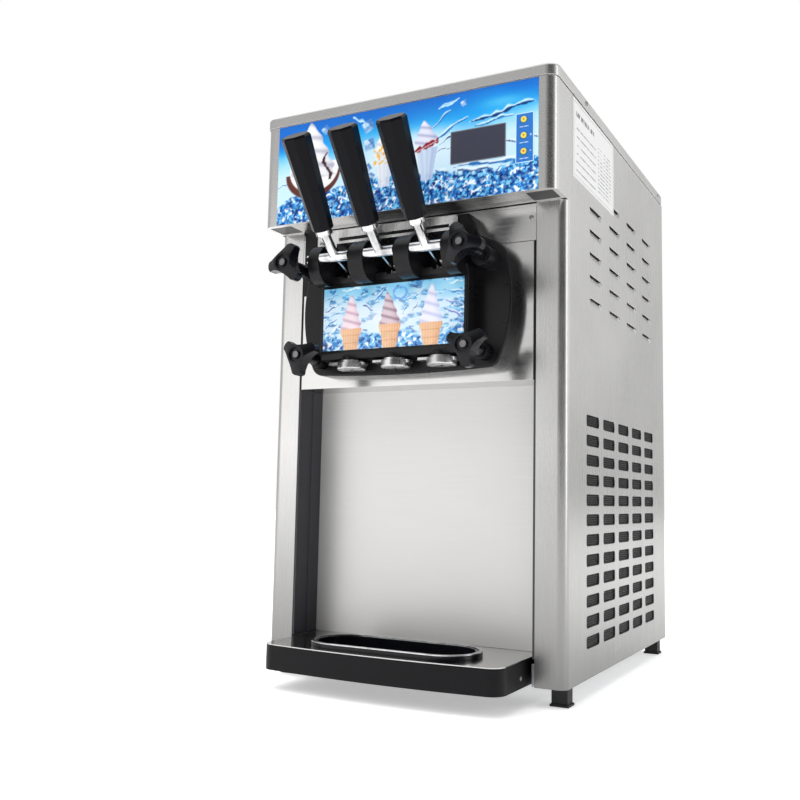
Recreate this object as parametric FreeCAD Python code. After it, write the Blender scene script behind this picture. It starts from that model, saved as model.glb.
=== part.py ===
import FreeCAD, Part
import math
import os

os.makedirs("parts", exist_ok=True)

V = FreeCAD.Vector

# Counter-top soft serve machine. X to the right, Y to the back, Z up, millimetres.
# Modelled with y = 0 on the front face of the cabinet's columns, then moved back by Y_SHIFT so that
# the origin is under the middle of the whole machine, on the counter.
Y_SHIFT = -190.14

# Driving dimensions.
HALF_W = 240.0
BACK_Y = 595.0
FOOT_H = 27.6
HEADER_Z = 696.0
LID_Z = 856.0
TOP_Z = 872.8
HEADER_OUT = 49.6
COLUMN_W = 44.0
SHEET = 1.5
SIDE_SEAM_Y = 20.0
CORNER_R = 13.0
RECESS_Y = 61.5
RECESS_TOP_Z = 443.0
SEAM_Z = 641.0
INNER_X = HALF_W - COLUMN_W
FRAME_X = HALF_W - 4.0
FRAME_T = 2.0

LOUVRE_LEN = 62.0
LOUVRE_H = 10.5
LOUVRE_DEPTH = 4.0
LOUVRE_END = 7.0
LOUVRE_RISE = 1.5
LOUVRE_SKIN = 1.1
LOUVRE_Y0 = 140.0
LOUVRE_DY = 107.3
LOUVRE_Z0 = 751.0
LOUVRE_DZ = 34.7
GRILLE_Y0 = 125.0
GRILLE_DY = 86.8
GRILLE_Z0 = 78.0
GRILLE_DZ = 28.7

BUTTON_X = 195.0
BUTTON_ZS = (797.5, 774.8, 752.2)
GRAPHIC_T = 0.5

BASE_X = 185.0
BASE_FRONT = 95.0
BASE_BOW = 10.0
BASE_R = 22.0
BASE_TOP = 63.0
TRAY_HALF = 130.0
TRAY_R = 54.0
TRAY_Y = -31.0
TRAY_TOP = BASE_TOP + SHEET + 6.7

PIVOT_Y = -100.0
PIVOT_Z = 620.0
HANDLE_PITCH = 73.5
HANDLE_XS = (-HANDLE_PITCH, 0.0, HANDLE_PITCH)
VALVE_Y = -46.0
VALVE_R = 9.0
LEVER_DEG = 20.0
PIN_R = 4.0
RUN = 0.05
LEVER_L = (VALVE_Y - PIVOT_Y) / math.cos(math.radians(LEVER_DEG))
BALL = V(0, VALVE_Y, PIVOT_Z - LEVER_L * math.sin(math.radians(LEVER_DEG)))
BALL_R = 6.5
ROD_R = 7.2
TANG_R = 6.2
ROD_END = V(0, -130.0, 646.7)
GRIP_TOP = V(0, -209.5, 762.5)

FLANGE_Y = -30.0
BLOCK_Y = -62.0
BLOCK_X = 119.5
PASSAGE_Z = 512.0
LUG_Y = -77.0
LUG_Z = 614.0
LUG_R = 30.0
LUGS = ((-116.0, -97.5), (-49.0, -24.5), (24.5, 49.0), (97.5, 116.0))

KNOB_UP = (139.0, 610.5, -140.0)
KNOB_LOW = (132.6, 480.5, -108.0)
KNOB_TURN = {
    "knob_upper_left": (-KNOB_UP[0], KNOB_UP[1], KNOB_UP[2], 68.0),
    "knob_upper_right": (KNOB_UP[0], KNOB_UP[1], KNOB_UP[2], 113.0),
    "knob_lower_left": (-KNOB_LOW[0], KNOB_LOW[1], KNOB_LOW[2], 24.0),
    "knob_lower_right": (KNOB_LOW[0], KNOB_LOW[1], KNOB_LOW[2], 33.0),
}
STUD_R = 5.0
STRIP_SCREWS = {-1: -162.0, 1: 188.5}

BARREL_X = 75.0
BARREL_Z = 545.0
BARREL_R = 50.0
MOTOR_Z = 400.0
PULLEY_Y = 372.0

HOPPER_X = (16.0, 206.0)
HOPPER_Y = (70.0, 430.0)
HOPPER_BOTTOM = 700.0
HOPPER_R = 10.0

CONDENSER_X = (168.0, 206.0)

FOOT_X = 221.0
FOOT_YS = (42.0, 573.0)
FOOT_HALF = 11.3
FOOT_LIP = 13.3


def box(x0, x1, y0, y1, z0, z1):
    return Part.makeBox(x1 - x0, y1 - y0, z1 - z0, V(x0, y0, z0))


def rod_x(x0, x1, y, z, r):
    return Part.makeCylinder(r, x1 - x0, V(x0, y, z), V(1, 0, 0))


def rod_y(x, y0, y1, z, r):
    return Part.makeCylinder(r, y1 - y0, V(x, y0, z), V(0, 1, 0))


def rod_z(x, y, z0, z1, r):
    return Part.makeCylinder(r, z1 - z0, V(x, y, z0), V(0, 0, 1))


def rod_between(a, b, r):
    d = b.sub(a)
    return Part.makeCylinder(r, d.Length, a, d)


def mirrored(shape):
    return shape.mirror(V(0, 0, 0), V(1, 0, 0))


def both(shape):
    return [shape, mirrored(shape)]


def fused(shapes):
    return shapes[0].fuse(shapes[1:]).removeSplitter()


def rounded_box(x0, x1, y0, y1, z0, z1, r, axis="z"):
    """A box whose four edges along one axis are rounded."""
    solid = box(x0, x1, y0, y1, z0, z1)
    edges = []
    for e in solid.Edges:
        d = e.Vertexes[1].Point.sub(e.Vertexes[0].Point)
        along = {"x": abs(d.x), "y": abs(d.y), "z": abs(d.z)}[axis]
        if along > 0.999 * d.Length:
            edges.append(e)
    return solid.makeFillet(r, edges)


def prism(points, start, direction):
    """A prism on a closed polygon of 3-D points."""
    wire = Part.makePolygon([start.add(p) for p in points] + [start.add(points[0])])
    return Part.Face(wire).extrude(direction)


def ring_y(x, z, y0, y1, r_out, r_in):
    return rod_y(x, y0, y1, z, r_out).cut(rod_y(x, y0 - 1, y1 + 1, z, r_in))


def stadium(half, r, y, z0, z1):
    """An oval prism: two half circles joined by straight sides, long axis X."""
    c = half - r
    body = box(-c, c, y - r, y + r, z0, z1)
    return fused([body, rod_z(-c, y, z0, z1, r), rod_z(c, y, z0, z1, r)])


def countersunk(x, y, z, normal, r=4.0):
    """A pan head screw, its head outside the sheet and its shank inside."""
    head = Part.makeCylinder(r, 1.6, V(x, y, z), normal)
    edge = [e for e in head.Edges if e.Curve.TypeId == "Part::GeomCircle"]
    far = max(edge, key=lambda e: e.CenterOfMass.sub(V(x, y, z)).Length)
    head = head.makeFillet(1.0, [far])
    slot = Part.makeCylinder(r * 0.38, 1.0, V(x, y, z).add(normal * 0.9), normal)
    shank = Part.makeCylinder(r * 0.5, 7.0, V(x, y, z).sub(normal * 7.0), normal)
    return fused([head.cut(slot), shank])


# ---------------------------------------------------------------- cabinet


def corner_profile(offset, y_end):
    """Plan outline of one folded side sheet (right side), front column included."""
    r = CORNER_R - offset
    x = HALF_W - offset
    y = offset
    a = V(INNER_X, y, 0)
    b = V(x - r, y, 0)
    m = V(x - r * (1 - math.sin(math.pi / 4)), y + r * (1 - math.cos(math.pi / 4)), 0)
    c = V(x, y + r, 0)
    d = V(x, y_end, 0)
    return a, b, m, c, d


def folded_sheet(z0, z1):
    """Front column face, rounded corner and side wall, bent from one sheet."""
    a, b, m, c, d = corner_profile(0.0, BACK_Y)
    e, f, n, g, h = corner_profile(SHEET, BACK_Y - SHEET)
    back_in = V(HALF_W - 16.0, BACK_Y, 0)
    back_in2 = V(HALF_W - 16.0, BACK_Y - SHEET, 0)
    edges = [
        Part.makeLine(a, b),
        Part.Arc(b, m, c).toShape(),
        Part.makeLine(c, d),
        Part.makeLine(d, back_in),
        Part.makeLine(back_in, back_in2),
        Part.makeLine(back_in2, h),
        Part.makeLine(h, g),
        Part.Arc(g, n, f).toShape(),
        Part.makeLine(f, e),
        Part.makeLine(e, a),
    ]
    face = Part.Face(Part.Wire(edges))
    face.translate(V(0, 0, z0))
    return face.extrude(V(0, 0, z1 - z0))


def louvre_tool(grow):
    """Slanting prism with a flat floor and rounded ends, deepest at its top."""
    half = LOUVRE_LEN / 2.0 + grow
    shoulder = LOUVRE_LEN / 2.0 - LOUVRE_END
    depth = LOUVRE_DEPTH + grow
    bend_y = shoulder + 0.72 * (half - shoulder)
    x_floor = HALF_W - depth
    x_bend = HALF_W - 0.72 * depth
    x_out = HALF_W + 8.0
    edges = [
        Part.makeLine(V(x_out, half, 0), V(HALF_W, half, 0)),
        Part.Arc(V(HALF_W, half, 0), V(x_bend, bend_y, 0), V(x_floor, shoulder, 0)).toShape(),
        Part.makeLine(V(x_floor, shoulder, 0), V(x_floor, -shoulder, 0)),
        Part.Arc(V(x_floor, -shoulder, 0), V(x_bend, -bend_y, 0), V(HALF_W, -half, 0)).toShape(),
        Part.makeLine(V(HALF_W, -half, 0), V(x_out, -half, 0)),
        Part.makeLine(V(x_out, -half, 0), V(x_out, half, 0)),
    ]
    tilt = V(LOUVRE_DEPTH, 0, -LOUVRE_H)
    face = Part.Face(Part.Wire(edges))
    face.translate(tilt * -0.4)
    return face.extrude(tilt * 3.0)


def louvre_parts():
    """One louvre pressed inwards: a flat-floored scoop, open along its straight top edge."""
    inner = louvre_tool(0.0)
    outer = louvre_tool(LOUVRE_SKIN)
    low = -LOUVRE_H - 3.0
    cutter = inner.common(box(HALF_W - 12.0, HALF_W + 3.0, -40, 40, low, 0))
    skin = outer.common(box(HALF_W - 12.0, HALF_W - SHEET + 0.4, -40, 40, low, LOUVRE_RISE))
    return cutter, skin.cut(inner)


def side_panel(skip):
    """Right-hand side sheet with louvres above and the open grille below."""
    sheet = folded_sheet(FOOT_H, LID_Z)
    sheet = sheet.cut(box(0, HALF_W + 5, -5, SIDE_SEAM_Y, HEADER_Z, LID_Z + 5))
    holes = []
    for col in range(5):
        for row in range(12):
            y = GRILLE_Y0 + col * GRILLE_DY
            z = GRILLE_Z0 + row * GRILLE_DZ
            hole = rounded_box(HALF_W - 5, HALF_W + 5, y - 32.5, y + 32.5, z - 8.5, z + 8.5, 5.0, "x")
            holes.append(hole)
    cutter, scoop = louvre_parts()
    scoops = []
    for col in range(4):
        for row in range(6):
            if (row, col) in skip:
                continue
            at = V(0, LOUVRE_Y0 + col * LOUVRE_DY, LOUVRE_Z0 - row * LOUVRE_DZ)
            hole = cutter.copy()
            hole.translate(at)
            holes.append(hole)
            dish = scoop.copy()
            dish.translate(at)
            scoops.append(dish)
    sheet = sheet.cut(Part.makeCompound(holes))
    return sheet.fuse(scoops)


def base_pan():
    """Folded floor pan with an upturned edge, cut back round the drip base."""
    t = FRAME_T
    x = FRAME_X
    y0, y1 = 4.0, BACK_Y - 5.0
    pan = box(-x, x, y0, y1, FOOT_H, FOOT_H + 30).cut(box(-x + t, x - t, y0 + t, y1 - t, FOOT_H + t, FOOT_H + 40))
    front_gap = box(-BASE_X - 6, BASE_X + 6, -5, RECESS_Y + 6, FOOT_H - 1, FOOT_H + 40)
    pan = pan.cut(front_gap)
    slots = [rounded_box(-150 + 40 * i, -128 + 40 * i, 300, 420, FOOT_H - 1, FOOT_H + 5, 8) for i in range(8)]
    return pan.cut(Part.makeCompound(slots))


def chassis_frame():
    """Four corner posts, top rails and the cross member that carries the cylinders."""
    t = FRAME_T
    x = FRAME_X - t
    y1 = BACK_Y - 5.0
    pieces = []
    for sx in (-1, 1):
        for ya, yb, wy in ((24.0, 49.0, 1), (y1 - 27.0, y1 - 2.0, -1)):
            xa = sx * (x - t)
            leg_x = box(min(xa, xa - sx * 24), max(xa, xa - sx * 24), ya, ya + t, FOOT_H + t, LID_Z - 6)
            leg_y = box(min(xa, xa - sx * t), max(xa, xa - sx * t), ya, yb, FOOT_H + t, LID_Z - 6)
            if wy < 0:
                leg_x.translate(V(0, 23, 0))
            pieces.append(leg_x)
            pieces.append(leg_y)
        rail_x = sx * (x - t - 1.0)
        pieces.append(box(rail_x - 3, rail_x + 3, 26, y1 - 4, LID_Z - 26, LID_Z - 6))
    for y in (24.0, y1 - 8.0):
        pieces.append(box(-x + t, x - t, y, y + 6.0, LID_Z - 26, LID_Z - 6))
    pieces.append(box(-x + t, x - t, 340, 346, 470, 486))
    pieces.append(box(-x + t, -x + t + 4, 30, y1 - 4, 470, 486))
    pieces.append(box(x - t - 4, x - t, 30, y1 - 4, 470, 486))
    return fused(pieces)


def feet():
    """Square rubber feet, each with a thin lip round its sole."""
    out = []
    for x in (-FOOT_X, FOOT_X):
        for y in FOOT_YS:
            block = box(x - FOOT_HALF, x + FOOT_HALF, y - FOOT_HALF, y + FOOT_HALF, 0, FOOT_H)
            lip = box(x - FOOT_LIP, x + FOOT_LIP, y - FOOT_LIP, y + FOOT_LIP, 0, 3.2)
            out.append(fused([block, lip]))
    return out


def rear_panel():
    x = HALF_W - 3.0
    y0, y1 = BACK_Y - SHEET - 1.6, BACK_Y - SHEET - 0.1
    sheet = box(-x, x, y0, y1, FOOT_H + 3, LID_Z - 1)
    holes = [rod_y(-150, y0 - 5, y1 + 5, 92, 9.0)]
    for row in range(14):
        for col in range(3):
            xa = -165 + col * 115
            z = 150 + row * 20.0
            holes.append(rounded_box(xa, xa + 100, y0 - 3, y1 + 3, z, z + 8, 3.9, "y"))
    for row in range(6):
        z = 640 + row * 20.0
        holes.append(rounded_box(-100, 100, y0 - 3, y1 + 3, z, z + 8, 3.9, "y"))
    return sheet.cut(Part.makeCompound(holes))


def cord_gland():
    """Cable gland in the rear panel, its bore open to the back."""
    y0 = BACK_Y - SHEET - 1.6
    body = fused([rod_y(-150, y0 - 8, BACK_Y + 9, 92, 9.0), rod_y(-150, BACK_Y - 1.6, BACK_Y + 4, 92, 14.0)])
    nut = rod_y(-150, y0 - 6, y0, 92, 14.0)
    return fused([body, nut]).cut(rod_y(-150, y0 - 20, BACK_Y + 20, 92, 4.5))


def lid():
    """Pressed top cover with a folded skirt and two hopper openings."""
    x, y0, y1 = HALF_W + 2.0, -HEADER_OUT - 2.0, BACK_Y + 2.0
    outer = rounded_box(-x, x, y0, y1, LID_Z, TOP_Z, 17.0)
    top_edges = [e for e in outer.Edges if min(v.Z for v in e.Vertexes) > TOP_Z - 0.01]
    outer = outer.makeFillet(3.5, top_edges)
    inner = rounded_box(-x + SHEET, x - SHEET, y0 + SHEET, y1 - SHEET, LID_Z - 1, TOP_Z - SHEET, 15.5)
    shell = outer.cut(inner)
    for sx in (-1, 1):
        xa, xb = sorted((sx * HOPPER_X[0], sx * HOPPER_X[1]))
        hole = rounded_box(xa + 2, xb - 2, HOPPER_Y[0] + 2, HOPPER_Y[1] - 2, TOP_Z - 5, TOP_Z + 5, 12.0)
        shell = shell.cut(hole)
    return shell


def hopper(sx):
    """Stainless mix tub hung under the lid, with a feed spout into the freezing cylinder."""
    xa, xb = sorted((sx * HOPPER_X[0], sx * HOPPER_X[1]))
    ya, yb = HOPPER_Y
    top = TOP_Z - SHEET - 0.1
    outer = rounded_box(xa, xb, ya, yb, HOPPER_BOTTOM, top, HOPPER_R)
    inner = rounded_box(xa + 1.2, xb - 1.2, ya + 1.2, yb - 1.2, HOPPER_BOTTOM + 1.2, top + 5, HOPPER_R - 1.2)
    rim = rounded_box(xa - 8, xb + 8, ya - 8, yb + 8, top - 1.2, top, 16.0)
    spout_x = sx * BARREL_X
    spout = rod_z(spout_x, 150, BARREL_Z + BARREL_R - 1.0, HOPPER_BOTTOM + 1.0, 12.0)
    hole = rod_z(spout_x, 150, BARREL_Z + BARREL_R - 5.0, HOPPER_BOTTOM + 5.0, 9.0)
    return fused([outer, rim, spout]).cut(inner).cut(hole)


def hopper_cover(sx):
    xa, xb = sorted((sx * HOPPER_X[0], sx * HOPPER_X[1]))
    ya, yb = HOPPER_Y
    plate = rounded_box(xa - 2, xb + 2, ya - 2, yb + 2, TOP_Z + 0.3, TOP_Z + 2.8, 14.0)
    skirt = rounded_box(xa + 4, xb - 4, ya + 4, yb - 4, TOP_Z - 7, TOP_Z + 0.5, 11.0)
    hollow = rounded_box(xa + 6, xb - 6, ya + 6, yb - 6, TOP_Z - 9, TOP_Z + 0.1, 9.0)
    xm = (xa + xb) / 2
    ym = (ya + yb) / 2
    bar = rounded_box(xm - 7, xm + 7, ym - 50, ym + 50, TOP_Z + 10, TOP_Z + 16, 6.9)
    legs = [rod_z(xm, ym + s * 42, TOP_Z + 2, TOP_Z + 12, 5.0) for s in (-1, 1)]
    return fused([plate, skirt.cut(hollow), bar] + legs)


def header_shell():
    """Front header box: folded front, two rounded corners, short sides and a closed floor."""
    r = 15.0
    x = HALF_W
    outer = box(-x, x, -HEADER_OUT, SIDE_SEAM_Y, HEADER_Z, LID_Z)
    front = [e for e in outer.Edges
             if abs(e.CenterOfMass.y + HEADER_OUT) < 0.01 and abs(e.CenterOfMass.z - (HEADER_Z + LID_Z) / 2) < 1]
    outer = outer.makeFillet(r, front)
    inner = box(-x + SHEET, x - SHEET, -HEADER_OUT + SHEET, SIDE_SEAM_Y + 5, HEADER_Z + SHEET, LID_Z + 5)
    front = [e for e in inner.Edges
             if abs(e.CenterOfMass.y + HEADER_OUT - SHEET) < 0.01 and abs(e.CenterOfMass.z - (HEADER_Z + LID_Z) / 2) < 5]
    inner = inner.makeFillet(r - SHEET, front)
    shell = outer.cut(inner)
    back = box(-x - 1, x + 1, -0.2, SIDE_SEAM_Y + 1, HEADER_Z - 1, HEADER_Z + SHEET)
    keep_sides = both(box(x - SHEET, x, -0.2, SIDE_SEAM_Y, HEADER_Z, HEADER_Z + SHEET))
    shell = shell.cut(back.cut(Part.makeCompound(keep_sides)))
    corners = both(box(INNER_X - 2, HALF_W - 7, -HEADER_OUT + 8, -4, HEADER_Z - 1, HEADER_Z + SHEET + 1))
    window = box(86, 166, -HEADER_OUT - 2, -HEADER_OUT + 3, 752, 796)
    keys = [rod_y(BUTTON_X, -HEADER_OUT - 2, -HEADER_OUT + 3, z, 5.2) for z in BUTTON_ZS]
    return shell.cut(Part.makeCompound(corners + [window] + keys))


def header_graphic():
    plate = box(-215, 216, -HEADER_OUT - GRAPHIC_T, -HEADER_OUT, HEADER_Z + 0.8, LID_Z - 1)
    window = box(83.8, 168.7, -60, -40, 749.3, 798.2)
    panel = box(182.8, 209.5, -60, -40, 736.3, 807.2)
    return plate.cut(window).cut(panel)


def display_window():
    front = rounded_box(84, 168.5, -HEADER_OUT - 1.0, -HEADER_OUT, 749.5, 798, 1.5, "y")
    module = box(87, 165, -HEADER_OUT, -HEADER_OUT + 8, 753, 795)
    return fused([front, module])


def button_panel():
    plate = rounded_box(183, 209.3, -HEADER_OUT - 1.0, -HEADER_OUT, 736.5, 807, 2.0, "y")
    holes = [rod_y(BUTTON_X, -60, -40, z, 4.9) for z in BUTTON_ZS]
    return plate.cut(Part.makeCompound(holes))


def button(z):
    cap = rod_y(BUTTON_X, -HEADER_OUT - 2.2, -HEADER_OUT + 4.0, z, 4.5)
    edge = [e for e in cap.Edges if abs(e.CenterOfMass.y + HEADER_OUT + 2.2) < 0.01]
    cap = cap.makeFillet(0.7, edge)
    return fused([cap, rod_y(BUTTON_X, -HEADER_OUT + 3.0, -HEADER_OUT + 5.0, z, 6.5)])


def control_board():
    board = box(60, 220, -HEADER_OUT + 12.0, -HEADER_OUT + 13.6, 730, 815)
    switches = [box(BUTTON_X - 4, BUTTON_X + 4, -HEADER_OUT + 6.2, -HEADER_OUT + 12, z - 4, z + 4) for z in BUTTON_ZS]
    spacers = [rod_y(x, -HEADER_OUT + 8, -HEADER_OUT + 12, z, 3) for x in (92, 160) for z in (757, 791)]
    back = [box(80, 110, -HEADER_OUT + 13.6, -HEADER_OUT + 30, 740, 770)]
    back.append(box(130, 150, -HEADER_OUT + 13.6, -HEADER_OUT + 24, 780, 800))
    return fused([board] + switches + spacers + back)


def black_trims():
    """Black strips in the gaps beside the upper panel and the blocks closing the header's floor."""
    x0, x1 = INNER_X - 3.6, INNER_X - 0.1
    out = both(box(x0, x1, 0.8, 10, RECESS_TOP_Z, SEAM_Z))
    out.append(box(-INNER_X + 3.8, -170.5, -1.3, -0.1, 592, HEADER_Z - 0.3))
    out += both(box(INNER_X - 1.9, HALF_W - 7.1, -HEADER_OUT + 8.1, -4.1, HEADER_Z + 0.4, HEADER_Z + 8))
    return out


def upper_front_panels():
    """Panel around the dispensing head and the narrow strip above it."""
    x = INNER_X - 3.7
    panel = box(-x, x, 0, SHEET, RECESS_TOP_Z, SEAM_Z - 0.6)
    shelf = box(-x, x, 0, RECESS_Y - 0.2, RECESS_TOP_Z, RECESS_TOP_Z + SHEET)
    panel = fused([panel, shelf]).cut(box(-140, 140, -1, 3, 482, 622))
    strip = box(-INNER_X + 0.3, INNER_X - 0.3, 0, SHEET, SEAM_Z, HEADER_Z - 5.5)
    lip = box(-INNER_X + 0.3, INNER_X - 0.3, 3.4, 4.9, HEADER_Z - 8, HEADER_Z - 0.3)
    joggle = box(-INNER_X + 0.3, INNER_X - 0.3, 0, 4.9, HEADER_Z - 7, HEADER_Z - 5.5)
    return [panel, fused([strip, lip, joggle])]


def recess_panel():
    x = INNER_X - 3.7
    sheet = box(-x, x, RECESS_Y, RECESS_Y + SHEET, BASE_TOP + 1.6, RECESS_TOP_Z + 12)
    foot = box(-x, x, RECESS_Y, RECESS_Y + 14, BASE_TOP + 1.6, BASE_TOP + 3.1)
    return fused([sheet, foot])


def recess_liners():
    x1 = INNER_X - 0.1
    z0 = BASE_TOP + 1.7
    wall = box(x1 - 3.2, x1, 0.8, RECESS_Y - 0.2, z0, RECESS_TOP_Z - 0.2)
    step = box(x1 - 4.6, x1 - 3.0, 34.0, RECESS_Y - 0.2, z0, RECESS_TOP_Z - 0.2)
    return both(fused([wall, step]))


def base_outline(inset, z0, z1):
    """Plan of the drip base: bowed front, rounded corners, straight sides."""
    x = BASE_X - inset
    y = -BASE_FRONT + inset
    r = BASE_R - inset
    s = math.sin(math.pi / 4)
    xe = x - r
    back = RECESS_Y - 0.3 - inset * 0.2
    edges = [
        Part.Arc(V(-xe, y, 0), V(0, y - BASE_BOW, 0), V(xe, y, 0)).toShape(),
        Part.Arc(V(xe, y, 0), V(xe + r * s, y + r * (1 - s), 0), V(x, y + r, 0)).toShape(),
        Part.makeLine(V(x, y + r, 0), V(x, back, 0)),
        Part.makeLine(V(x, back, 0), V(-x, back, 0)),
        Part.makeLine(V(-x, back, 0), V(-x, y + r, 0)),
        Part.Arc(V(-x, y + r, 0), V(-xe - r * s, y + r * (1 - s), 0), V(-xe, y, 0)).toShape(),
    ]
    face = Part.Face(Part.Wire(edges))
    face.translate(V(0, 0, z0))
    return face.extrude(V(0, 0, z1 - z0))


def drip_base():
    """Black moulded base, open underneath, with an oval well for the drip tray."""
    shell = base_outline(0.0, 28.3, BASE_TOP).cut(base_outline(3.0, 20.0, BASE_TOP - 3.0))
    well = stadium(TRAY_HALF - 5.5, TRAY_R - 5.5, TRAY_Y, BASE_TOP - 25.0, BASE_TOP - 0.5)
    pocket = stadium(TRAY_HALF - 7.5, TRAY_R - 7.5, TRAY_Y, BASE_TOP - 23.0, BASE_TOP + 5)
    ribs = [box(x - 1, x + 1, 28, RECESS_Y - 5, 30, BASE_TOP - 2) for x in (-120, -60, 0, 60, 120)]
    return fused([shell, well] + ribs).cut(pocket)


def base_top_plate():
    """Stainless cover over the drip base, with the tray opening."""
    plate = base_outline(0.6, BASE_TOP, BASE_TOP + SHEET)
    return plate.cut(stadium(TRAY_HALF - 7.5, TRAY_R - 7.5, TRAY_Y, 20, 80))


def drip_tray():
    """Lift-out oval tray; its collar rests on the stainless cover."""
    z = BASE_TOP + SHEET + 0.25
    collar = stadium(TRAY_HALF, TRAY_R, TRAY_Y, z, TRAY_TOP - 1.0)
    tub = stadium(TRAY_HALF - 8.0, TRAY_R - 8.0, TRAY_Y, BASE_TOP - 22.5, z + 1)
    hollow = stadium(TRAY_HALF - 10.0, TRAY_R - 10.0, TRAY_Y, BASE_TOP - 20.5, 90)
    bar = box(-84, 84, TRAY_Y - 1.0, TRAY_Y + 1.0, BASE_TOP - 21, BASE_TOP - 15)
    return fused([collar, tub]).cut(hollow).fuse(bar)


def tray_rim():
    """Bright metal ring seated on the collar of the drip tray."""
    ring = stadium(TRAY_HALF, TRAY_R, TRAY_Y, TRAY_TOP - 1.0, TRAY_TOP + 0.4)
    return ring.cut(stadium(TRAY_HALF - 5.0, TRAY_R - 5.0, TRAY_Y, 0, 90))


# ---------------------------------------------------------------- dispensing head


def flange_outline(y0, y1):
    """Bowed outline of the head's flange, with stepped shoulders."""
    pts = [
        ("line", (104, 683), (123, 648)),
        ("line", (123, 648), (143, 640)),
        ("arc", (143, 640), (157.5, 628.5), (165, 609)),
        ("arc", (165, 609), (171, 546), (155, 474)),
        ("arc", (155, 474), (149, 464), (136, 459)),
    ]
    edges = []
    for kind, *p in pts:
        right = [V(x, y0, z) for x, z in p]
        left = [V(-x, y0, z) for x, z in p]
        for group in (right, left):
            edges.append(Part.makeLine(*group) if kind == "line" else Part.Arc(*group).toShape())
    edges.append(Part.makeLine(V(-104, y0, 683), V(104, y0, 683)))
    edges.append(Part.Arc(V(-136, y0, 459), V(0, y0, 455), V(136, y0, 459)).toShape())
    wire = Part.Wire(Part.__sortEdges__(edges))
    return Part.Face(wire).extrude(V(0, y1 - y0, 0))


def door_body():
    """Moulded dispensing head: flange, valve block, hinge lugs, stud bosses and outlets."""
    flange = flange_outline(FLANGE_Y, 0.0)
    rim = [e for e in flange.Edges if abs(e.CenterOfMass.y - FLANGE_Y) < 0.01]
    flange = flange.makeFillet(3.0, rim)
    pieces = [flange]
    # Valve block, its head sloping up to the lugs and its foot undercut.
    side = [V(0, BLOCK_Y, 486), V(0, BLOCK_Y, 590), V(0, BLOCK_Y - 3, 600), V(0, -28, 600), V(0, -28, 474),
            V(0, BLOCK_Y + 5, 478)]
    block = prism(side, V(-BLOCK_X, 0, 0), V(2 * BLOCK_X, 0, 0))
    front = [e for e in block.Edges
             if abs(e.CenterOfMass.y - BLOCK_Y) < 0.01 and abs(abs(e.CenterOfMass.x) - BLOCK_X) < 0.01]
    pieces.append(block.makeFillet(2.5, front))
    for xa, xb in LUGS:
        pieces.append(rod_x(xa, xb, LUG_Y, LUG_Z, LUG_R))
        pieces.append(box(xa, xb, LUG_Y, -28, 590, LUG_Z + LUG_R))
    # Low wall behind the levers and the crown behind it.
    pieces.append(box(-116, 116, -36, -28, 590, 668))
    for sx in (-1, 1):
        pieces.append(rod_y(sx * KNOB_UP[0], -66, -28, KNOB_UP[1], 15.0))
    for x in HANDLE_XS:
        pieces.append(rod_z(x, VALVE_Y, 470, 482, 15.0))
    body = fused(pieces)
    cuts = [rod_x(-130, 130, PIVOT_Y, PIVOT_Z, PIN_R)]
    for x in HANDLE_XS:
        cuts.append(rod_z(x, VALVE_Y, 460, 620, VALVE_R + RUN))
        cuts.append(box(x - 8, x + 8, -70, VALVE_Y, 597, 660))
    cuts.append(rod_y(0, VALVE_Y, -10, PASSAGE_Z + 2, 4.5))
    cuts.append(rod_x(-42, 42, -10, PASSAGE_Z + 2, 4.5))
    for sx in (-1, 1):
        cuts.append(rod_y(sx * HANDLE_PITCH, VALVE_Y, 5, PASSAGE_Z, 7.0))
        cuts.append(rod_y(sx * 42, -10, 5, PASSAGE_Z + 2, 4.5))
        cuts.append(rod_y(sx * KNOB_UP[0], -80, 5, KNOB_UP[1], STUD_R))
        cuts.append(rod_y(sx * KNOB_LOW[0], -80, 5, KNOB_LOW[1], STUD_R))
    for tool in cuts:
        body = body.cut(tool)
    return body


def door_graphic():
    return rounded_box(-114, 114, BLOCK_Y - 0.8, BLOCK_Y, 490, 583, 2.0, "y")


def grip_dir():
    d = GRIP_TOP.sub(ROD_END)
    d.normalize()
    return d


def handle(x):
    """Chrome pivot barrel, rod, lock nut and the ball-ended lever behind."""
    p = V(0, PIVOT_Y, PIVOT_Z)
    d = grip_dir()
    barrel = rod_x(-23.4, 23.4, PIVOT_Y, PIVOT_Z, 7.5)
    rod = rod_between(p, ROD_END, ROD_R)
    knee = Part.makeSphere(ROD_R, ROD_END)
    tang = rod_between(ROD_END, ROD_END.add(d * 70.0), TANG_R)
    nut = rod_between(ROD_END.sub(d * 1.0), ROD_END.add(d * 6.0), 12.0)
    washer = rod_between(ROD_END.sub(d * 3.5), ROD_END.sub(d * 1.0), 9.0)
    lever = rod_between(p, BALL, 3.0)
    ball = Part.makeSphere(BALL_R, BALL)
    body = fused([barrel, rod, knee, tang, nut, washer, lever, ball])
    body = body.cut(rod_x(-40, 40, PIVOT_Y, PIVOT_Z, PIN_R + RUN))
    body.translate(V(x, 0, 0))
    return body


def octagon(centre, normal, across):
    r = across / 2.0 / math.cos(math.pi / 8)
    side = V(1, 0, 0)
    up = normal.cross(side)
    pts = []
    for k in range(8):
        a = math.pi / 8 + k * math.pi / 4
        pts.append(centre.add(side * (r * math.cos(a))).add(up * (r * math.sin(a))))
    return Part.makePolygon(pts + [pts[0]])


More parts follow.
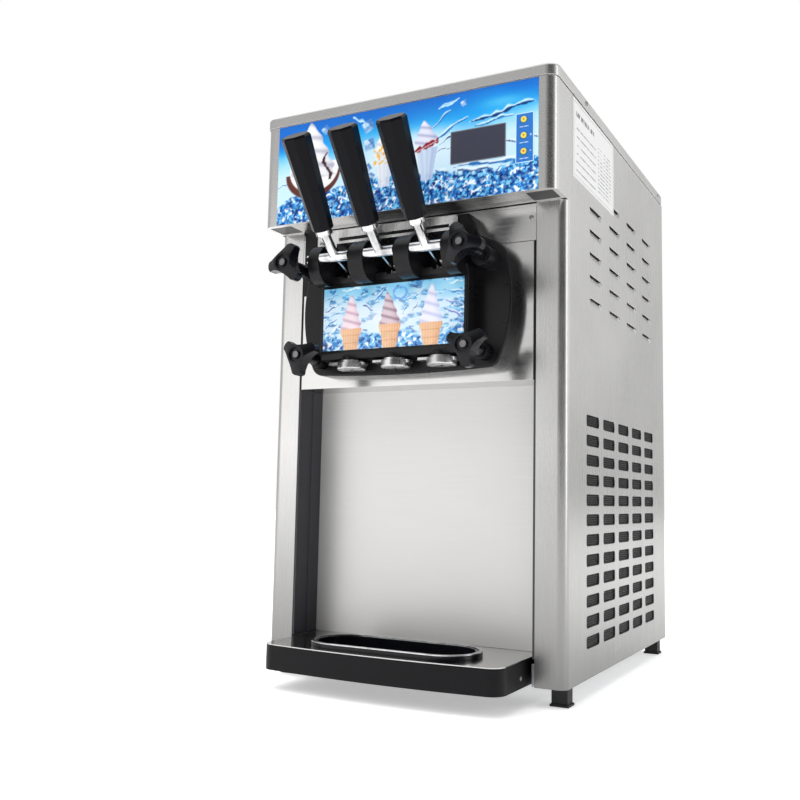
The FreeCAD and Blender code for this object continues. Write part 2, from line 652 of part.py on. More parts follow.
def grip(x):
    """Faceted handle grip, wider towards its top."""
    d = grip_dir()
    start = ROD_END.add(d * 6.1)
    length = GRIP_TOP.sub(start).Length
    foot = octagon(start, d, 26.5)
    low = octagon(start.add(d * 2.0), d, 29.0)
    high = octagon(start.add(d * (length - 3.0)), d, 38.5)
    top = octagon(start.add(d * length), d, 34.5)
    body = fused([Part.makeLoft([foot, low], True, True), Part.makeLoft([low, high], True, True),
                  Part.makeLoft([high, top], True, True)])
    body = body.cut(rod_between(start.sub(d * 5), ROD_END.add(d * 70.0), TANG_R))
    body.translate(V(x, 0, 0))
    return body


def plunger(x):
    """Draw valve piston; the lever's ball works in the slot at its head."""
    z = BALL.z
    body = rod_z(0, VALVE_Y, 483.0, z + 11.0, VALVE_R)
    for groove in (500.0, 555.0, 585.0):
        ring = rod_z(0, VALVE_Y, groove, groove + 3.0, VALVE_R + 2).cut(rod_z(0, VALVE_Y, groove, groove + 3.0, 7.6))
        body = body.cut(ring)
    body = body.cut(box(-BALL_R - 0.6, BALL_R + 0.6, VALVE_Y - 12, VALVE_Y + 12, z - BALL_R - 0.5, z + BALL_R + 0.5))
    body.translate(V(x, 0, 0))
    return body


def nozzle_cap(x):
    """Star nozzle cap with one long finger tab."""
    disc = rod_z(x, VALVE_Y, 462.0, 472.0, 21.5)
    low = [e for e in disc.Edges if abs(e.CenterOfMass.z - 462.0) < 0.01]
    disc = disc.makeFillet(2.5, low)
    crown = rod_z(x, VALVE_Y, 471.0, 475.5, 18.5)
    tab = rounded_box(x - 36, x + 2, VALVE_Y - 9, VALVE_Y + 7, 470.5, 474.0, 4.0)
    lug = rounded_box(x, x + 25, VALVE_Y - 7, VALVE_Y + 7, 469.0, 473.0, 3.0)
    cap = fused([disc, crown, tab, lug])
    cap = cap.cut(rod_z(x, VALVE_Y, 468.5, 480.0, 15.0))
    star = rod_z(x, VALVE_Y, 455.0, 480.0, 4.2)
    for k in range(6):
        tooth = prism([V(3.0, -2.0, 0), V(8.5, 0, 0), V(3.0, 2.0, 0)], V(0, 0, 455), V(0, 0, 25))
        tooth.rotate(V(0, 0, 0), V(0, 0, 1), 60 * k)
        tooth.translate(V(x, VALVE_Y, 0))
        star = star.fuse(tooth)
    return cap.cut(star)


def stop_bar():
    """Flat bright bar behind the handles, on two turned-down legs."""
    y0, y1 = -64.0, -61.5
    top = rounded_box(-102, 102, y0, y1, 659.5, 671.0, 2.0, "y")
    pieces = [top]
    for sx in (-1, 1):
        xa, xb = sorted((sx * 102, sx * 94))
        pieces.append(box(xa, xb, y0, y1, LUG_Z + LUG_R - 0.5, 668))
        xa, xb = sorted((sx * 113, sx * 98))
        pieces.append(box(xa, xb, y0 - 12, y1, LUG_Z + LUG_R, LUG_Z + LUG_R + 2.0))
    shelf = box(-96, 96, y1 - 0.5, -37.0, 652.0, 654.0)
    pieces.append(box(-96, 96, y0, y1, 650.5, 660))
    pieces.append(shelf)
    return fused(pieces).cut(box(-90, 90, y0 - 1, y1 + 1, 654.5, 659.4)).cut(lever_slots())


def lever_slots():
    """Room in the bar's shelf for the pistons to rise through."""
    return Part.makeCompound([box(x - 12.5, x + 12.5, VALVE_Y - 12, VALVE_Y + 12, 640, 658) for x in HANDLE_XS])


def knob_outline(turn, y0, y1):
    """Three-lobed outline: rounded tips joined by hollow flanks."""
    edges = []
    for k in range(3):
        mid = math.radians(turn + 120 * k)

        def at(r, deg):
            a = mid + math.radians(deg)
            return V(r * math.cos(a), y0, r * math.sin(a))

        edges.append(Part.Arc(at(27.6, -15), at(30.0, 0), at(27.6, 15)).toShape())
        edges.append(Part.Arc(at(27.6, 15), at(14.2, 60), at(27.6, 105)).toShape())
    return Part.Face(Part.Wire(Part.__sortEdges__(edges))).extrude(V(0, y1 - y0, 0))


def knob(x, z, y, turn, hub_end):
    """Tri-lobe hand knob, domed in front, with a dished centre and a hub down to its seat."""
    body = knob_outline(turn, y, y + 22)
    dome = [V(0, y, 0), V(13.5, y, 0), V(15.5, y + 1.0, 0), V(31, y + 10, 0), V(31, y + 22, 0), V(0, y + 22, 0)]
    wire = Part.makePolygon(dome + [dome[0]])
    envelope = Part.Face(wire).revolve(V(0, 0, 0), V(0, 1, 0), 360)
    body = body.common(envelope)
    hub = rod_y(0, y + 5, hub_end, 0, 8.4)
    collar = rod_y(0, y + 20, y + 27, 0, 11.5)
    body = fused([body, hub, collar])
    dish = rod_y(0, y - 1, y + 3.2, 0, 10.6)
    post = rod_y(0, y - 1, y + 5, 0, 6.2)
    body = body.cut(dish.cut(post)).cut(rod_y(0, y - 2, hub_end + 1, 0, STUD_R + RUN))
    body.translate(V(x, 0, z))
    return body


def door_studs():
    out = []
    for x, z, y, turn in KNOB_TURN.values():
        out.append(rod_y(x, y + 0.8, 9.0, z, STUD_R))
    return out


def knurled_nuts():
    out = []
    for sx in (-1, 1):
        x, z = sx * KNOB_LOW[0], KNOB_LOW[1]
        nut = rod_y(x, FLANGE_Y - 22, FLANGE_Y, z, 11.3)
        teeth = []
        for k in range(20):
            a = math.radians(18 * k)
            teeth.append(rod_y(x + 11.3 * math.cos(a), FLANGE_Y - 21, FLANGE_Y, z + 11.3 * math.sin(a), 1.1))
        out.append(fused([nut] + teeth).cut(rod_y(x, -80, 5, z, STUD_R)))
    return out


def pivot_pin():
    heads = [rod_x(sx * 117.5 - 1.5, sx * 117.5 + 1.5, PIVOT_Y, PIVOT_Z, 6.5) for sx in (-1, 1)]
    return fused([rod_x(-118, 118, PIVOT_Y, PIVOT_Z, PIN_R)] + heads)


# ---------------------------------------------------------------- freezing and drive


def front_plate():
    """Mounting plate of the freezing cylinders, behind the dispensing head."""
    plate = box(-139.5, 139.5, 0, 8, 482.5, 621.5)
    for sx in (-1, 1):
        plate = plate.cut(rod_y(sx * BARREL_X, -1, 20, BARREL_Z, BARREL_R - 4))
        plate = plate.cut(ring_y(sx * BARREL_X, BARREL_Z, -1, 3, 56, 50))
        plate = plate.cut(rod_y(sx * KNOB_UP[0], -1, 20, KNOB_UP[1], STUD_R))
    return plate


def door_seals():
    return [ring_y(sx * BARREL_X, BARREL_Z, 0, 3, 56, 50) for sx in (-1, 1)]


def freezing_cylinders():
    out = []
    for sx in (-1, 1):
        x = sx * BARREL_X
        tube = ring_y(x, BARREL_Z, 8, 330, BARREL_R, BARREL_R - 4)
        cap = rod_y(x, 330, 338, BARREL_Z, BARREL_R).cut(rod_y(x, 320, 350, BARREL_Z, 8 + RUN))
        port = rod_z(x, 150, BARREL_Z, BARREL_Z + BARREL_R + 5, 9.0)
        turns = [y for y in range(30, 320, 24) if not 125 < y < 170]
        coil = [ring_y(x, BARREL_Z, y, y + 9, BARREL_R + 5, BARREL_R - 1) for y in turns]
        out.append(fused([tube, cap] + coil).cut(port))
    return out


def beater(sx):
    """Scraper dasher on its drive shaft, with the driven pulley at the back."""
    x = sx * BARREL_X
    shaft = rod_y(x, 16, PULLEY_Y + 22, BARREL_Z, 8.0)
    pieces = [shaft]
    for k in range(3):
        blade = box(-2.5, 2.5, 14, 322, 33, 45)
        blade.rotate(V(0, 0, 0), V(0, 1, 0), 120 * k + 15)
        blade.translate(V(x, 0, BARREL_Z))
        pieces.append(blade)
    for y in (18, 92, 166, 240, 314):
        for k in range(3):
            arm = box(-3, 3, y, y + 6, 0, 35)
            arm.rotate(V(0, 0, 0), V(0, 1, 0), 120 * k + 15)
            arm.translate(V(x, 0, BARREL_Z))
            pieces.append(arm)
    pulley = rod_y(x, PULLEY_Y, PULLEY_Y + 20, BARREL_Z, 55)
    groove = ring_y(x, BARREL_Z, PULLEY_Y + 4, PULLEY_Y + 16, 60, 50)
    pieces.append(pulley.cut(groove))
    return fused(pieces)


def motor_pulley():
    shaft = rod_y(0, PULLEY_Y - 30, PULLEY_Y + 22, MOTOR_Z, 8.0)
    pulley = rod_y(0, PULLEY_Y, PULLEY_Y + 20, MOTOR_Z, 27)
    groove = ring_y(0, MOTOR_Z, PULLEY_Y + 4, PULLEY_Y + 16, 30, 22)
    return fused([shaft, pulley.cut(groove)])


def belt_outline(extra, y0, y1):
    """Convex hull of three circles: both driven pulleys and the motor pulley."""
    circles = [(-BARREL_X, BARREL_Z, 50 + extra), (BARREL_X, BARREL_Z, 50 + extra), (0.0, MOTOR_Z, 22 + extra)]
    solids = [rod_y(x, y0, y1, z, r) for x, z, r in circles]
    for i in range(3):
        xa, za, ra = circles[i]
        xb, zb, rb = circles[(i + 1) % 3]
        d = math.hypot(xb - xa, zb - za)
        base = math.atan2(zb - za, xb - xa)
        lean = math.acos((ra - rb) / d)
        pts = []
        for x, z, r, s in ((xa, za, ra, 1), (xb, zb, rb, 1), (xb, zb, rb, -1), (xa, za, ra, -1)):
            a = base + s * lean
            pts.append(V(x + r * math.cos(a), y0, z + r * math.sin(a)))
        solids.append(prism(pts, V(0, 0, 0), V(0, y1 - y0, 0)))
    middle = [V(x, y0, z) for x, z, r in circles]
    solids.append(prism(middle, V(0, 0, 0), V(0, y1 - y0, 0)))
    return fused(solids)


def drive_belt():
    y0, y1 = PULLEY_Y + 5, PULLEY_Y + 15
    return belt_outline(4.0, y0, y1).cut(belt_outline(0.5, y0 - 1, y1 + 1))


def drive_motor():
    body = rod_y(0, 190, PULLEY_Y - 14, MOTOR_Z, 62)
    bore = rod_y(0, PULLEY_Y - 32, PULLEY_Y, MOTOR_Z, 8.4)
    foot = box(-50, 50, 210, 330, 330, 336)
    stand = [box(-50, -44, 210, 330, FOOT_H + 2, 336), box(44, 50, 210, 330, FOOT_H + 2, 336)]
    saddle = box(-30, 30, 220, 320, 334, 350)
    return fused([body, foot, saddle] + stand).cut(bore)


def compressor():
    can = rod_z(-150, 480, 50, 190, 62)
    top = [e for e in can.Edges if abs(e.CenterOfMass.z - 190) < 0.01]
    can = can.makeFillet(28, top)
    plate = box(-215, -85, 415, 545, FOOT_H + 2, FOOT_H + 6)
    pads = [rod_z(-150 + a * 52, 480 + b * 52, FOOT_H + 5, 52, 9) for a in (-1, 1) for b in (-1, 1)]
    foot = box(-212, -88, 418, 542, 50, 54)
    pipe = rod_z(-150, 480, 186, 240, 5)
    return fused([can, plate, foot, pipe] + pads)


def condenser():
    """Finned coil behind the right-hand grille, with the fan shroud on its inner side."""
    x0, x1 = CONDENSER_X
    core = box(x0, x1, 110, 490, 80, 400)
    grooves = [box(x1 - 6, x1 + 1, 114 + 12 * i, 120 + 12 * i, 84, 396) for i in range(31)]
    core = core.cut(Part.makeCompound(grooves))
    shroud = box(x0 - 22, x0, 150, 450, 90, 390).cut(rod_x(x0 - 30, x0 + 1, 300, 240, 128))
    bars = [box(x0 - 22, x0 - 18, 150, 450, 236, 244), box(x0 - 22, x0 - 18, 296, 304, 90, 390)]
    hub = rod_x(x0 - 60, x0 - 18, 300, 240, 30)
    floor_feet = box(x0, x1, 110, 490, FOOT_H + 2, 82)
    return fused([core, shroud, hub, floor_feet] + bars)


def condenser_fan():
    x0 = CONDENSER_X[0] - 15.0
    hub = rod_x(x0, x0 + 10, 300, 240, 24)
    pieces = [hub]
    for k in range(5):
        blade = box(x0 + 2, x0 + 5, 270, 330, 258, 355)
        blade.rotate(V(x0 + 4, 300, 300), V(0, 0, 1), 9)
        blade.rotate(V(x0, 300, 240), V(1, 0, 0), 72 * k)
        pieces.append(blade)
    return fused(pieces).common(rod_x(x0 - 3, x0 + 14, 300, 240, 124))


def side_filters():
    x = HALF_W - SHEET
    return both(box(x - 1.6, x - 0.6, 84, 512, 60, 412))


def panel_screws():
    out = []
    for sx in (-1, 1):
        for y in (86.0, 557.0):
            out.append(countersunk(sx * (HALF_W + 2), y, 865.0, V(sx, 0, 0)))
        out.append(countersunk(STRIP_SCREWS[sx], 0, 674.0, V(0, -1, 0), 3.4))
        out.append(countersunk(sx * BASE_X, -22, 42.0, V(sx, 0, 0), 3.0))
        for z in (60.0, 330.0, 600.0, 830.0):
            out.append(countersunk(sx * 214, BACK_Y - SHEET - 0.1, z, V(0, 1, 0), 3.6))
    out.append(rod_z(5.5, -40, HEADER_Z - 14, HEADER_Z + 4, 2.2).fuse(rod_z(5.5, -40, HEADER_Z - 4, HEADER_Z, 4.2)))
    return out


def side_label():
    return box(HALF_W, HALF_W + 0.3, 28, 241, 737, 854)


# ---------------------------------------------------------------- export


def export(name, shapes):
    """Move a sub-part into the machine's frame and write its STEP file."""
    if not isinstance(shapes, list):
        shapes = [shapes]
    solids = []
    for shape in shapes:
        solids += shape.Solids
    moved = Part.makeCompound(solids)
    moved.translate(V(0, Y_SHIFT, 0))
    bad = [s for s in solids if not s.isValid()]
    if bad:
        print("invalid solid in", name)
    moved.exportStep("parts/%s.step" % name)


def fitted(shapes, neighbours):
    """Cut a sub-part's own holes and seats for the pieces that pass through it."""
    if not isinstance(shapes, list):
        shapes = [shapes]
    return [shape.cut(neighbours) for shape in shapes]


right = side_panel([(0, 0)])
left = mirrored(side_panel([]))
screws = panel_screws()
head = door_body()
studs = door_studs() + knurled_nuts()
tanks = [hopper(-1), hopper(1)]
export("right_side_panel", right)
export("left_side_panel", left)
export("feet", feet())
export("chassis_frame", fitted(chassis_frame(), screws) + fitted(base_pan(), [left, right]))
export("rear_panel", fitted(rear_panel(), screws))
export("cord_gland", cord_gland())
export("lid", fitted(lid(), screws))
export("hopper_left", tanks[0])
export("hopper_right", tanks[1])
export("hopper_cover_left", hopper_cover(-1))
export("hopper_cover_right", hopper_cover(1))
export("header_shell", fitted(header_shell(), screws))
export("header_graphic", header_graphic())
export("display_window", display_window())
export("button_panel", button_panel())
for name, z in zip(("button_mode", "button_plus", "button_minus"), BUTTON_ZS):
    export(name, button(z))
export("control_board", control_board())
export("black_trims", black_trims())
export("upper_front_panels", fitted(upper_front_panels(), screws + studs))
export("recess_panel", recess_panel())
export("recess_liners", recess_liners())
export("drip_base", fitted(drip_base(), screws))
export("base_top_plate", base_top_plate())
export("drip_tray", drip_tray())
export("tray_rim", tray_rim())
export("door_body", head)
export("door_graphic", door_graphic())
export("pivot_pin", pivot_pin())
for side, x in zip(("left", "middle", "right"), HANDLE_XS):
    export("handle_" + side, handle(x))
    export("grip_" + side, grip(x))
    export("plunger_" + side, plunger(x))
export("nozzle_caps", fitted([nozzle_cap(x) for x in HANDLE_XS], [head]))
export("stop_bar", fitted(stop_bar(), [head]))
for name, (x, z, y, turn) in KNOB_TURN.items():
    seat = -66.3 if "upper" in name else FLANGE_Y - 22.3
    export(name, knob(x, z, y, turn, seat))
export("door_studs", studs)
export("front_plate", fitted(front_plate(), studs))
export("door_seals", door_seals())
export("freezing_cylinders", fitted(freezing_cylinders(), tanks))
export("beater_left", beater(-1))
export("beater_right", beater(1))
export("motor_pulley", motor_pulley())
export("drive_belt", drive_belt())
export("drive_motor", drive_motor())
export("compressor", compressor())
export("condenser", condenser())
export("condenser_fan", condenser_fan())
export("side_filters", side_filters())
export("panel_screws", screws)
export("side_label", side_label())
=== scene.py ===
"""Finishes, printed films, hardware and studio for a counter-top soft serve machine."""

import math

import bpy
import numpy as np
from mathutils import Matrix, Vector


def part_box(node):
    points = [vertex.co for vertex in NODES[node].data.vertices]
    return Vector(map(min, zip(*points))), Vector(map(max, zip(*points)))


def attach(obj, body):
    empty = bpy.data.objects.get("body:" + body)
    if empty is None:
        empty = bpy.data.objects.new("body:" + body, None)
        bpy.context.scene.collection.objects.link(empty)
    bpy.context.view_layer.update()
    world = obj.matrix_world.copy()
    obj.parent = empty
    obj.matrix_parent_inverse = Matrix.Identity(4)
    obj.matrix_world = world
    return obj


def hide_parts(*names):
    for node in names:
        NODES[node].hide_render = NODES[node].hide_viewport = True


bl_info = {
    "name": "Soft Serve Machine",
    "version": (1, 0, 0),
    "blender": (4, 5, 0),
    "location": "3D View > Sidebar > Soft Serve",
    "description": "Finishes, printed films, hardware and studio for a soft serve machine",
    "category": "Object",
}

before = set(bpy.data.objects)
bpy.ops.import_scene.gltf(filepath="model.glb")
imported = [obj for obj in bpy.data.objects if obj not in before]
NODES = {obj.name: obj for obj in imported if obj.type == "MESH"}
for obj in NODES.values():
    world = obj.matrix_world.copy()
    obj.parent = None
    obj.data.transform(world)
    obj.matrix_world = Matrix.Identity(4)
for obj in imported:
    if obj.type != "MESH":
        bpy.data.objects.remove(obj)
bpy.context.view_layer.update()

MM = 0.001
# The cabinet's column face stands this far in front of the middle of the machine.
COLUMN_FACE_Y = -0.19014
# Painted shade: brushed sheet is painted at its darkest up to the first height and keeps its own colour
# above the second.
PAINTED_SHADE_HEIGHTS = (0.02, 0.36)
# Painted shade and dark reflection on the header's floor: its heights, its left end and its faded right end.
PAINTED_DARK_BAND_HEIGHTS = (0.6900, 0.6962)
PAINTED_DARK_BAND_LEFT_END = (-0.062, -0.058)
PAINTED_DARK_BAND_RIGHT_END = (0.085, 0.135)
# The door's studs are bare in front of this plane and black oxide behind it.
STUD_BARE_FROM = COLUMN_FACE_Y - 0.100


# ---------------------------------------------------------------- settings


class SteelSettings(bpy.types.PropertyGroup):
    """Colours and grain of the sheet steel."""

    sheet_colour: bpy.props.FloatVectorProperty(
        name="Sheet colour", description="Colour of the brushed sheet", subtype="COLOR", size=3,
        min=0.0, max=1.0, default=(0.60, 0.595, 0.587))
    bright_colour: bpy.props.FloatVectorProperty(
        name="Bright colour", description="Colour of the polished fittings", subtype="COLOR", size=3,
        min=0.0, max=1.0, default=(0.86, 0.86, 0.87))
    sheet_roughness: bpy.props.FloatProperty(
        name="Sheet roughness", description="Roughness of the brushed sheet", min=0.0, max=1.0, default=0.27)
    grain_pitch: bpy.props.FloatProperty(
        name="Grain pitch", description="Distance between two brush marks", unit="LENGTH", default=0.0011)
    grain_depth: bpy.props.FloatProperty(
        name="Grain depth", description="How strongly the brush marks show", min=0.0, max=1.0, default=0.06)


class MouldingSettings(bpy.types.PropertyGroup):
    """Colours and texture of the moulded parts."""

    satin_colour: bpy.props.FloatVectorProperty(
        name="Satin black", description="Colour of the textured mouldings", subtype="COLOR", size=3,
        min=0.0, max=1.0, default=(0.006, 0.006, 0.007))
    gloss_colour: bpy.props.FloatVectorProperty(
        name="Gloss black", description="Colour of grips and hand knobs", subtype="COLOR", size=3,
        min=0.0, max=1.0, default=(0.0030, 0.0032, 0.0048))
    texture_size: bpy.props.FloatProperty(
        name="Texture size", description="Size of the moulded texture's grains", unit="LENGTH",
        default=0.0009)
    edge_radius: bpy.props.FloatProperty(
        name="Edge radius", description="Softness of the moulded edges", unit="LENGTH", default=0.0012)


class FilmSettings(bpy.types.PropertyGroup):
    """Printed films on the header and on the dispensing head."""

    header_step: bpy.props.FloatProperty(
        name="Header step", description="Spacing of the header film's mesh", unit="LENGTH", default=0.0014)
    head_step: bpy.props.FloatProperty(
        name="Head step", description="Spacing of the head film's mesh", unit="LENGTH", default=0.0011)
    ice_size: bpy.props.FloatProperty(
        name="Ice size", description="Size of the printed pieces of ice", unit="LENGTH", default=0.0064)
    deep_blue: bpy.props.FloatVectorProperty(
        name="Deep blue", description="Print colour at the top", subtype="COLOR_GAMMA", size=3,
        min=0.0, max=1.0, default=(0.0, 0.41, 0.79))
    azure: bpy.props.FloatVectorProperty(
        name="Azure", description="Print colour below the top", subtype="COLOR_GAMMA", size=3,
        min=0.0, max=1.0, default=(0.04, 0.60, 0.91))
    pale_blue: bpy.props.FloatVectorProperty(
        name="Pale blue", description="Print colour at half height", subtype="COLOR_GAMMA", size=3,
        min=0.0, max=1.0, default=(0.78, 0.91, 0.985))


class HardwareSettings(bpy.types.PropertyGroup):
    """Screws and grille mesh."""

    screw_radius: bpy.props.FloatProperty(
        name="Screw radius", description="Radius of a pan head", unit="LENGTH", default=0.0038)
    wire_pitch: bpy.props.FloatProperty(
        name="Wire pitch", description="Distance between the grille mesh's wires", unit="LENGTH",
        default=0.0032)
    wire_width: bpy.props.FloatProperty(
        name="Wire width", description="Width of a wire of the grille mesh", unit="LENGTH", default=0.0009)


class StudioSettings(bpy.types.PropertyGroup):
    """Camera, floor and lights."""

    camera_place: bpy.props.FloatVectorProperty(
        name="Camera place", description="Where the camera stands", subtype="TRANSLATION", unit="LENGTH",
        size=3, default=(0.63584, -1.41511, 0.27594))
    camera_yaw: bpy.props.FloatProperty(
        name="Yaw", description="Turn of the camera about the vertical", subtype="ANGLE",
        default=math.radians(-28.018))
    camera_pitch: bpy.props.FloatProperty(
        name="Pitch", description="Upward tilt of the camera", subtype="ANGLE", default=math.radians(5.971))
    camera_roll: bpy.props.FloatProperty(
        name="Roll", description="Roll of the camera", subtype="ANGLE", default=math.radians(1.179))
    lens: bpy.props.FloatProperty(name="Lens", description="Focal length in millimetres", default=42.26)
    floor_colour: bpy.props.FloatVectorProperty(
        name="Floor colour", description="Colour of the studio floor", subtype="COLOR", size=3,
        min=0.0, max=1.0, default=(0.90, 0.90, 0.90))
    floor_glow: bpy.props.FloatProperty(
        name="Floor glow", description="Light of the lit floor", default=0.42)
    key_power: bpy.props.FloatProperty(
        name="Key power", description="Front left soft box", unit="POWER", default=11.5)
    side_power: bpy.props.FloatProperty(
        name="Side power", description="Right hand soft box", unit="POWER", default=12.0)
    top_power: bpy.props.FloatProperty(
        name="Top power", description="Overhead soft box", unit="POWER", default=26.0)
    sun_strength: bpy.props.FloatProperty(
        name="Sky light", description="Wide soft light from above that evens out the floor", default=1.9)
    room_light: bpy.props.FloatProperty(
        name="Room light", description="Even light of the room", default=0.64)
    dark_wall: bpy.props.FloatProperty(
        name="Dark wall", description="Light that comes from the room's dark front right wall", default=0.05)


# ---------------------------------------------------------------- material wiring


class Finish:
    """One procedural material, with short calls that add nodes and join them."""

    def __init__(self, name, colour, roughness, metallic=0.0, coat=0.0, coat_roughness=0.1, ior=1.5):
        self.material = bpy.data.materials.new(name)
        self.material.use_nodes = True
        self.tree = self.material.node_tree
        self.shader = next(n for n in self.tree.nodes if n.type == "BSDF_PRINCIPLED")
        self.place = self.node("ShaderNodeTexCoord").outputs["Object"]
        self.shader.inputs["Metallic"].default_value = metallic
        self.shader.inputs["Coat Weight"].default_value = coat
        self.shader.inputs["Coat Roughness"].default_value = coat_roughness
        self.shader.inputs["IOR"].default_value = ior
        self.put("Base Color", colour)
        self.put("Roughness", roughness)

    def node(self, kind, **settings):
        made = self.tree.nodes.new(kind)
        for key, value in settings.items():
            setattr(made, key, value)
        return made

    def feed(self, socket, value):
        if isinstance(value, bpy.types.NodeSocket):
            self.tree.links.new(value, socket)
        elif hasattr(value, "__len__") and len(value) == 3 and socket.type == "RGBA":
            socket.default_value = (*value, 1.0)
        else:
            socket.default_value = value

    def put(self, name, value):
        """Give one of the shader's inputs a value or a source."""
        self.feed(self.shader.inputs[name], value)

    def math(self, operation, *values):
        made = self.node("ShaderNodeMath", operation=operation)
        for socket, value in zip(made.inputs, values):
            self.feed(socket, value)
        return made.outputs[0]

    def axes(self):
        """The three coordinates of the point, in metres."""
        made = self.node("ShaderNodeSeparateXYZ")
        self.feed(made.inputs[0], self.place)
        return made.outputs

    def between(self, value, low, high):
        """1 where value lies between low and high, else 0."""
        above = self.math("GREATER_THAN", value, low)
        below = self.math("LESS_THAN", value, high)
        return self.math("MULTIPLY", above, below)

    def noise(self, stretch, detail=3.0, roughness=0.55, distortion=0.0):
        """Noise whose grains are 1 / stretch metres long along each axis."""
        mapping = self.node("ShaderNodeMapping")
        mapping.inputs["Scale"].default_value = stretch
        self.feed(mapping.inputs["Vector"], self.place)
        made = self.node("ShaderNodeTexNoise")
        self.feed(made.inputs["Vector"], mapping.outputs[0])
        made.inputs["Scale"].default_value = 1.0
        made.inputs["Detail"].default_value = detail
        made.inputs["Roughness"].default_value = roughness
        made.inputs["Distortion"].default_value = distortion
        return made.outputs[0]

    def spread(self, value, low, high, source_low=0.25, source_high=0.75):
        """Map a noise onto the range low to high."""
        made = self.node("ShaderNodeMapRange")
        self.feed(made.inputs["Value"], value)
        made.inputs["From Min"].default_value = source_low
        made.inputs["From Max"].default_value = source_high
        made.inputs["To Min"].default_value = low
        made.inputs["To Max"].default_value = high
        return made.outputs["Result"]

    def window(self, across, left, right, up, bottom, top):
        """1 inside a rectangle, 0 outside it."""
        return self.math("MULTIPLY", self.between(across, left, right), self.between(up, bottom, top))

    def blend(self, factor, first, second):
        """A colour that goes from first to second with factor."""
        made = self.node("ShaderNodeMix", data_type="RGBA")
        self.feed(made.inputs["Factor"], factor)
        colours = [s for s in made.inputs if s.type == "RGBA"]
        self.feed(colours[0], first)
        self.feed(colours[1], second)
        return next(s for s in made.outputs if s.type == "RGBA")

    def relief(self, height, strength, distance, edge=0.0):
        """Surface relief from a height, with edges softened by a radius."""
        bump = self.node("ShaderNodeBump")
        bump.inputs["Strength"].default_value = strength
        bump.inputs["Distance"].default_value = distance
        self.feed(bump.inputs["Height"], height)
        if edge > 0.0:
            soft = self.node("ShaderNodeBevel", samples=4)
            soft.inputs["Radius"].default_value = edge
            self.feed(bump.inputs["Normal"], soft.outputs[0])
        self.put("Normal", bump.outputs[0])


def tint(colour, factor):
    return tuple(min(1.0, c * factor) for c in colour)


def brushed_steel(name, grain, colour=None, roughness=None, edge=0.0008, depth=None, low=0.50,
                  metallic=1.0):
    """Sheet steel brushed along one axis, with a little colour drift and painted shade that darkens it
    towards the counter.
    """
    steel = bpy.context.scene.soft_serve_steel
    colour = tuple(colour or steel.sheet_colour)
    roughness = steel.sheet_roughness if roughness is None else roughness
    across = 1.0 / steel.grain_pitch
    stretch = [across] * 3
    stretch["XYZ".index(grain)] = 9.0
    f = Finish(name, colour, roughness, metallic=metallic)
    marks = f.noise(stretch, detail=4.0, roughness=0.65)
    cloud = f.noise((5.0, 5.0, 5.0), detail=2.0)
    rough = f.math("ADD", f.spread(marks, roughness - 0.05, roughness + 0.07), f.spread(cloud, -0.03, 0.04))
    drift = f.blend(f.spread(cloud, 0.0, 1.0), tint(colour, 0.95), tint(colour, 1.05))
    shade = f.blend(f.spread(marks, 0.0, 0.35), drift, tint(colour, 0.78))
    # Painted shade: the colour darkens towards the counter, down to low times the sheet colour.
    z = f.axes()[2]
    f.put("Base Color", f.blend(f.spread(z, 1.0, 0.0, *PAINTED_SHADE_HEIGHTS), shade, tint(colour, low)))
    f.put("Roughness", rough)
    f.relief(marks, steel.grain_depth if depth is None else depth, 0.0002, edge)
    return f.material


def bright_metal(name, colour=None, roughness=0.09, grain="X", depth=0.04):
    """Polished or plated metal with fine turning marks, faint smears and painted dark reflection streaks."""
    steel = bpy.context.scene.soft_serve_steel
    colour = tuple(colour or steel.bright_colour)
    f = Finish(name, colour, roughness, metallic=1.0)
    stretch = [220.0] * 3
    stretch["XYZ".index(grain)] = 1500.0
    turned = f.noise(stretch, detail=2.0)
    smear = f.noise((60.0, 60.0, 25.0), detail=4.0, roughness=0.65, distortion=0.6)
    f.put("Roughness", f.spread(smear, roughness * 0.6, roughness * 1.8))
    # Painted reflection: random darker streaks, long along Z, stand in for dark reflections.
    reflection_streaks = f.spread(f.noise((55.0, 55.0, 14.0), detail=2.0), 0.0, 1.0)
    f.put("Base Color", f.blend(reflection_streaks, tint(colour, 0.42), colour))
    f.relief(turned, depth, 0.0002, 0.0005)
    return f.material


def moulding(name, colour, roughness, relief=0.22, coat=0.0, grain=None, edge=None, ior=1.38):
    """Moulded plastic or rubber: fine texture, rub marks at random places, dust."""
    shop = bpy.context.scene.soft_serve_moulding
    grain = grain or shop.texture_size
    f = Finish(name, colour, roughness, coat=coat, coat_roughness=0.18, ior=ior)
    fine = f.noise((1.0 / grain,) * 3, detail=2.0)
    rub = f.noise((22.0, 22.0, 34.0), detail=5.0, roughness=0.7, distortion=0.4)
    f.put("Roughness", f.spread(rub, roughness - 0.07, roughness + 0.08))
    worn = f.blend(f.spread(rub, 0.0, 1.0), tint(colour, 0.82), tint(colour, 1.25))
    f.put("Base Color", f.blend(f.spread(fine, 0.0, 0.3), worn, tint(colour, 1.6)))
    f.relief(fine, relief, 0.0003, shop.edge_radius if edge is None else edge)
    return f.material


def enamel(name, colour, roughness, metallic=0.0, fleck=0.25):
    """Painted, oxidised or galvanised metal with a mottled surface."""
    f = Finish(name, colour, roughness, metallic=metallic)
    mottle = f.noise((70.0, 70.0, 70.0), detail=5.0, roughness=0.7)
    peel = f.noise((420.0, 420.0, 420.0), detail=2.0)
    f.put("Roughness", f.spread(mottle, roughness - 0.08, roughness + 0.10))
    pale, deep = tint(colour, 1.0 + fleck), tint(colour, 1.0 - fleck)
    f.put("Base Color", f.blend(f.spread(mottle, 0.0, 1.0), deep, pale))
    f.relief(peel, 0.12, 0.0004, 0.0006)
    return f.material


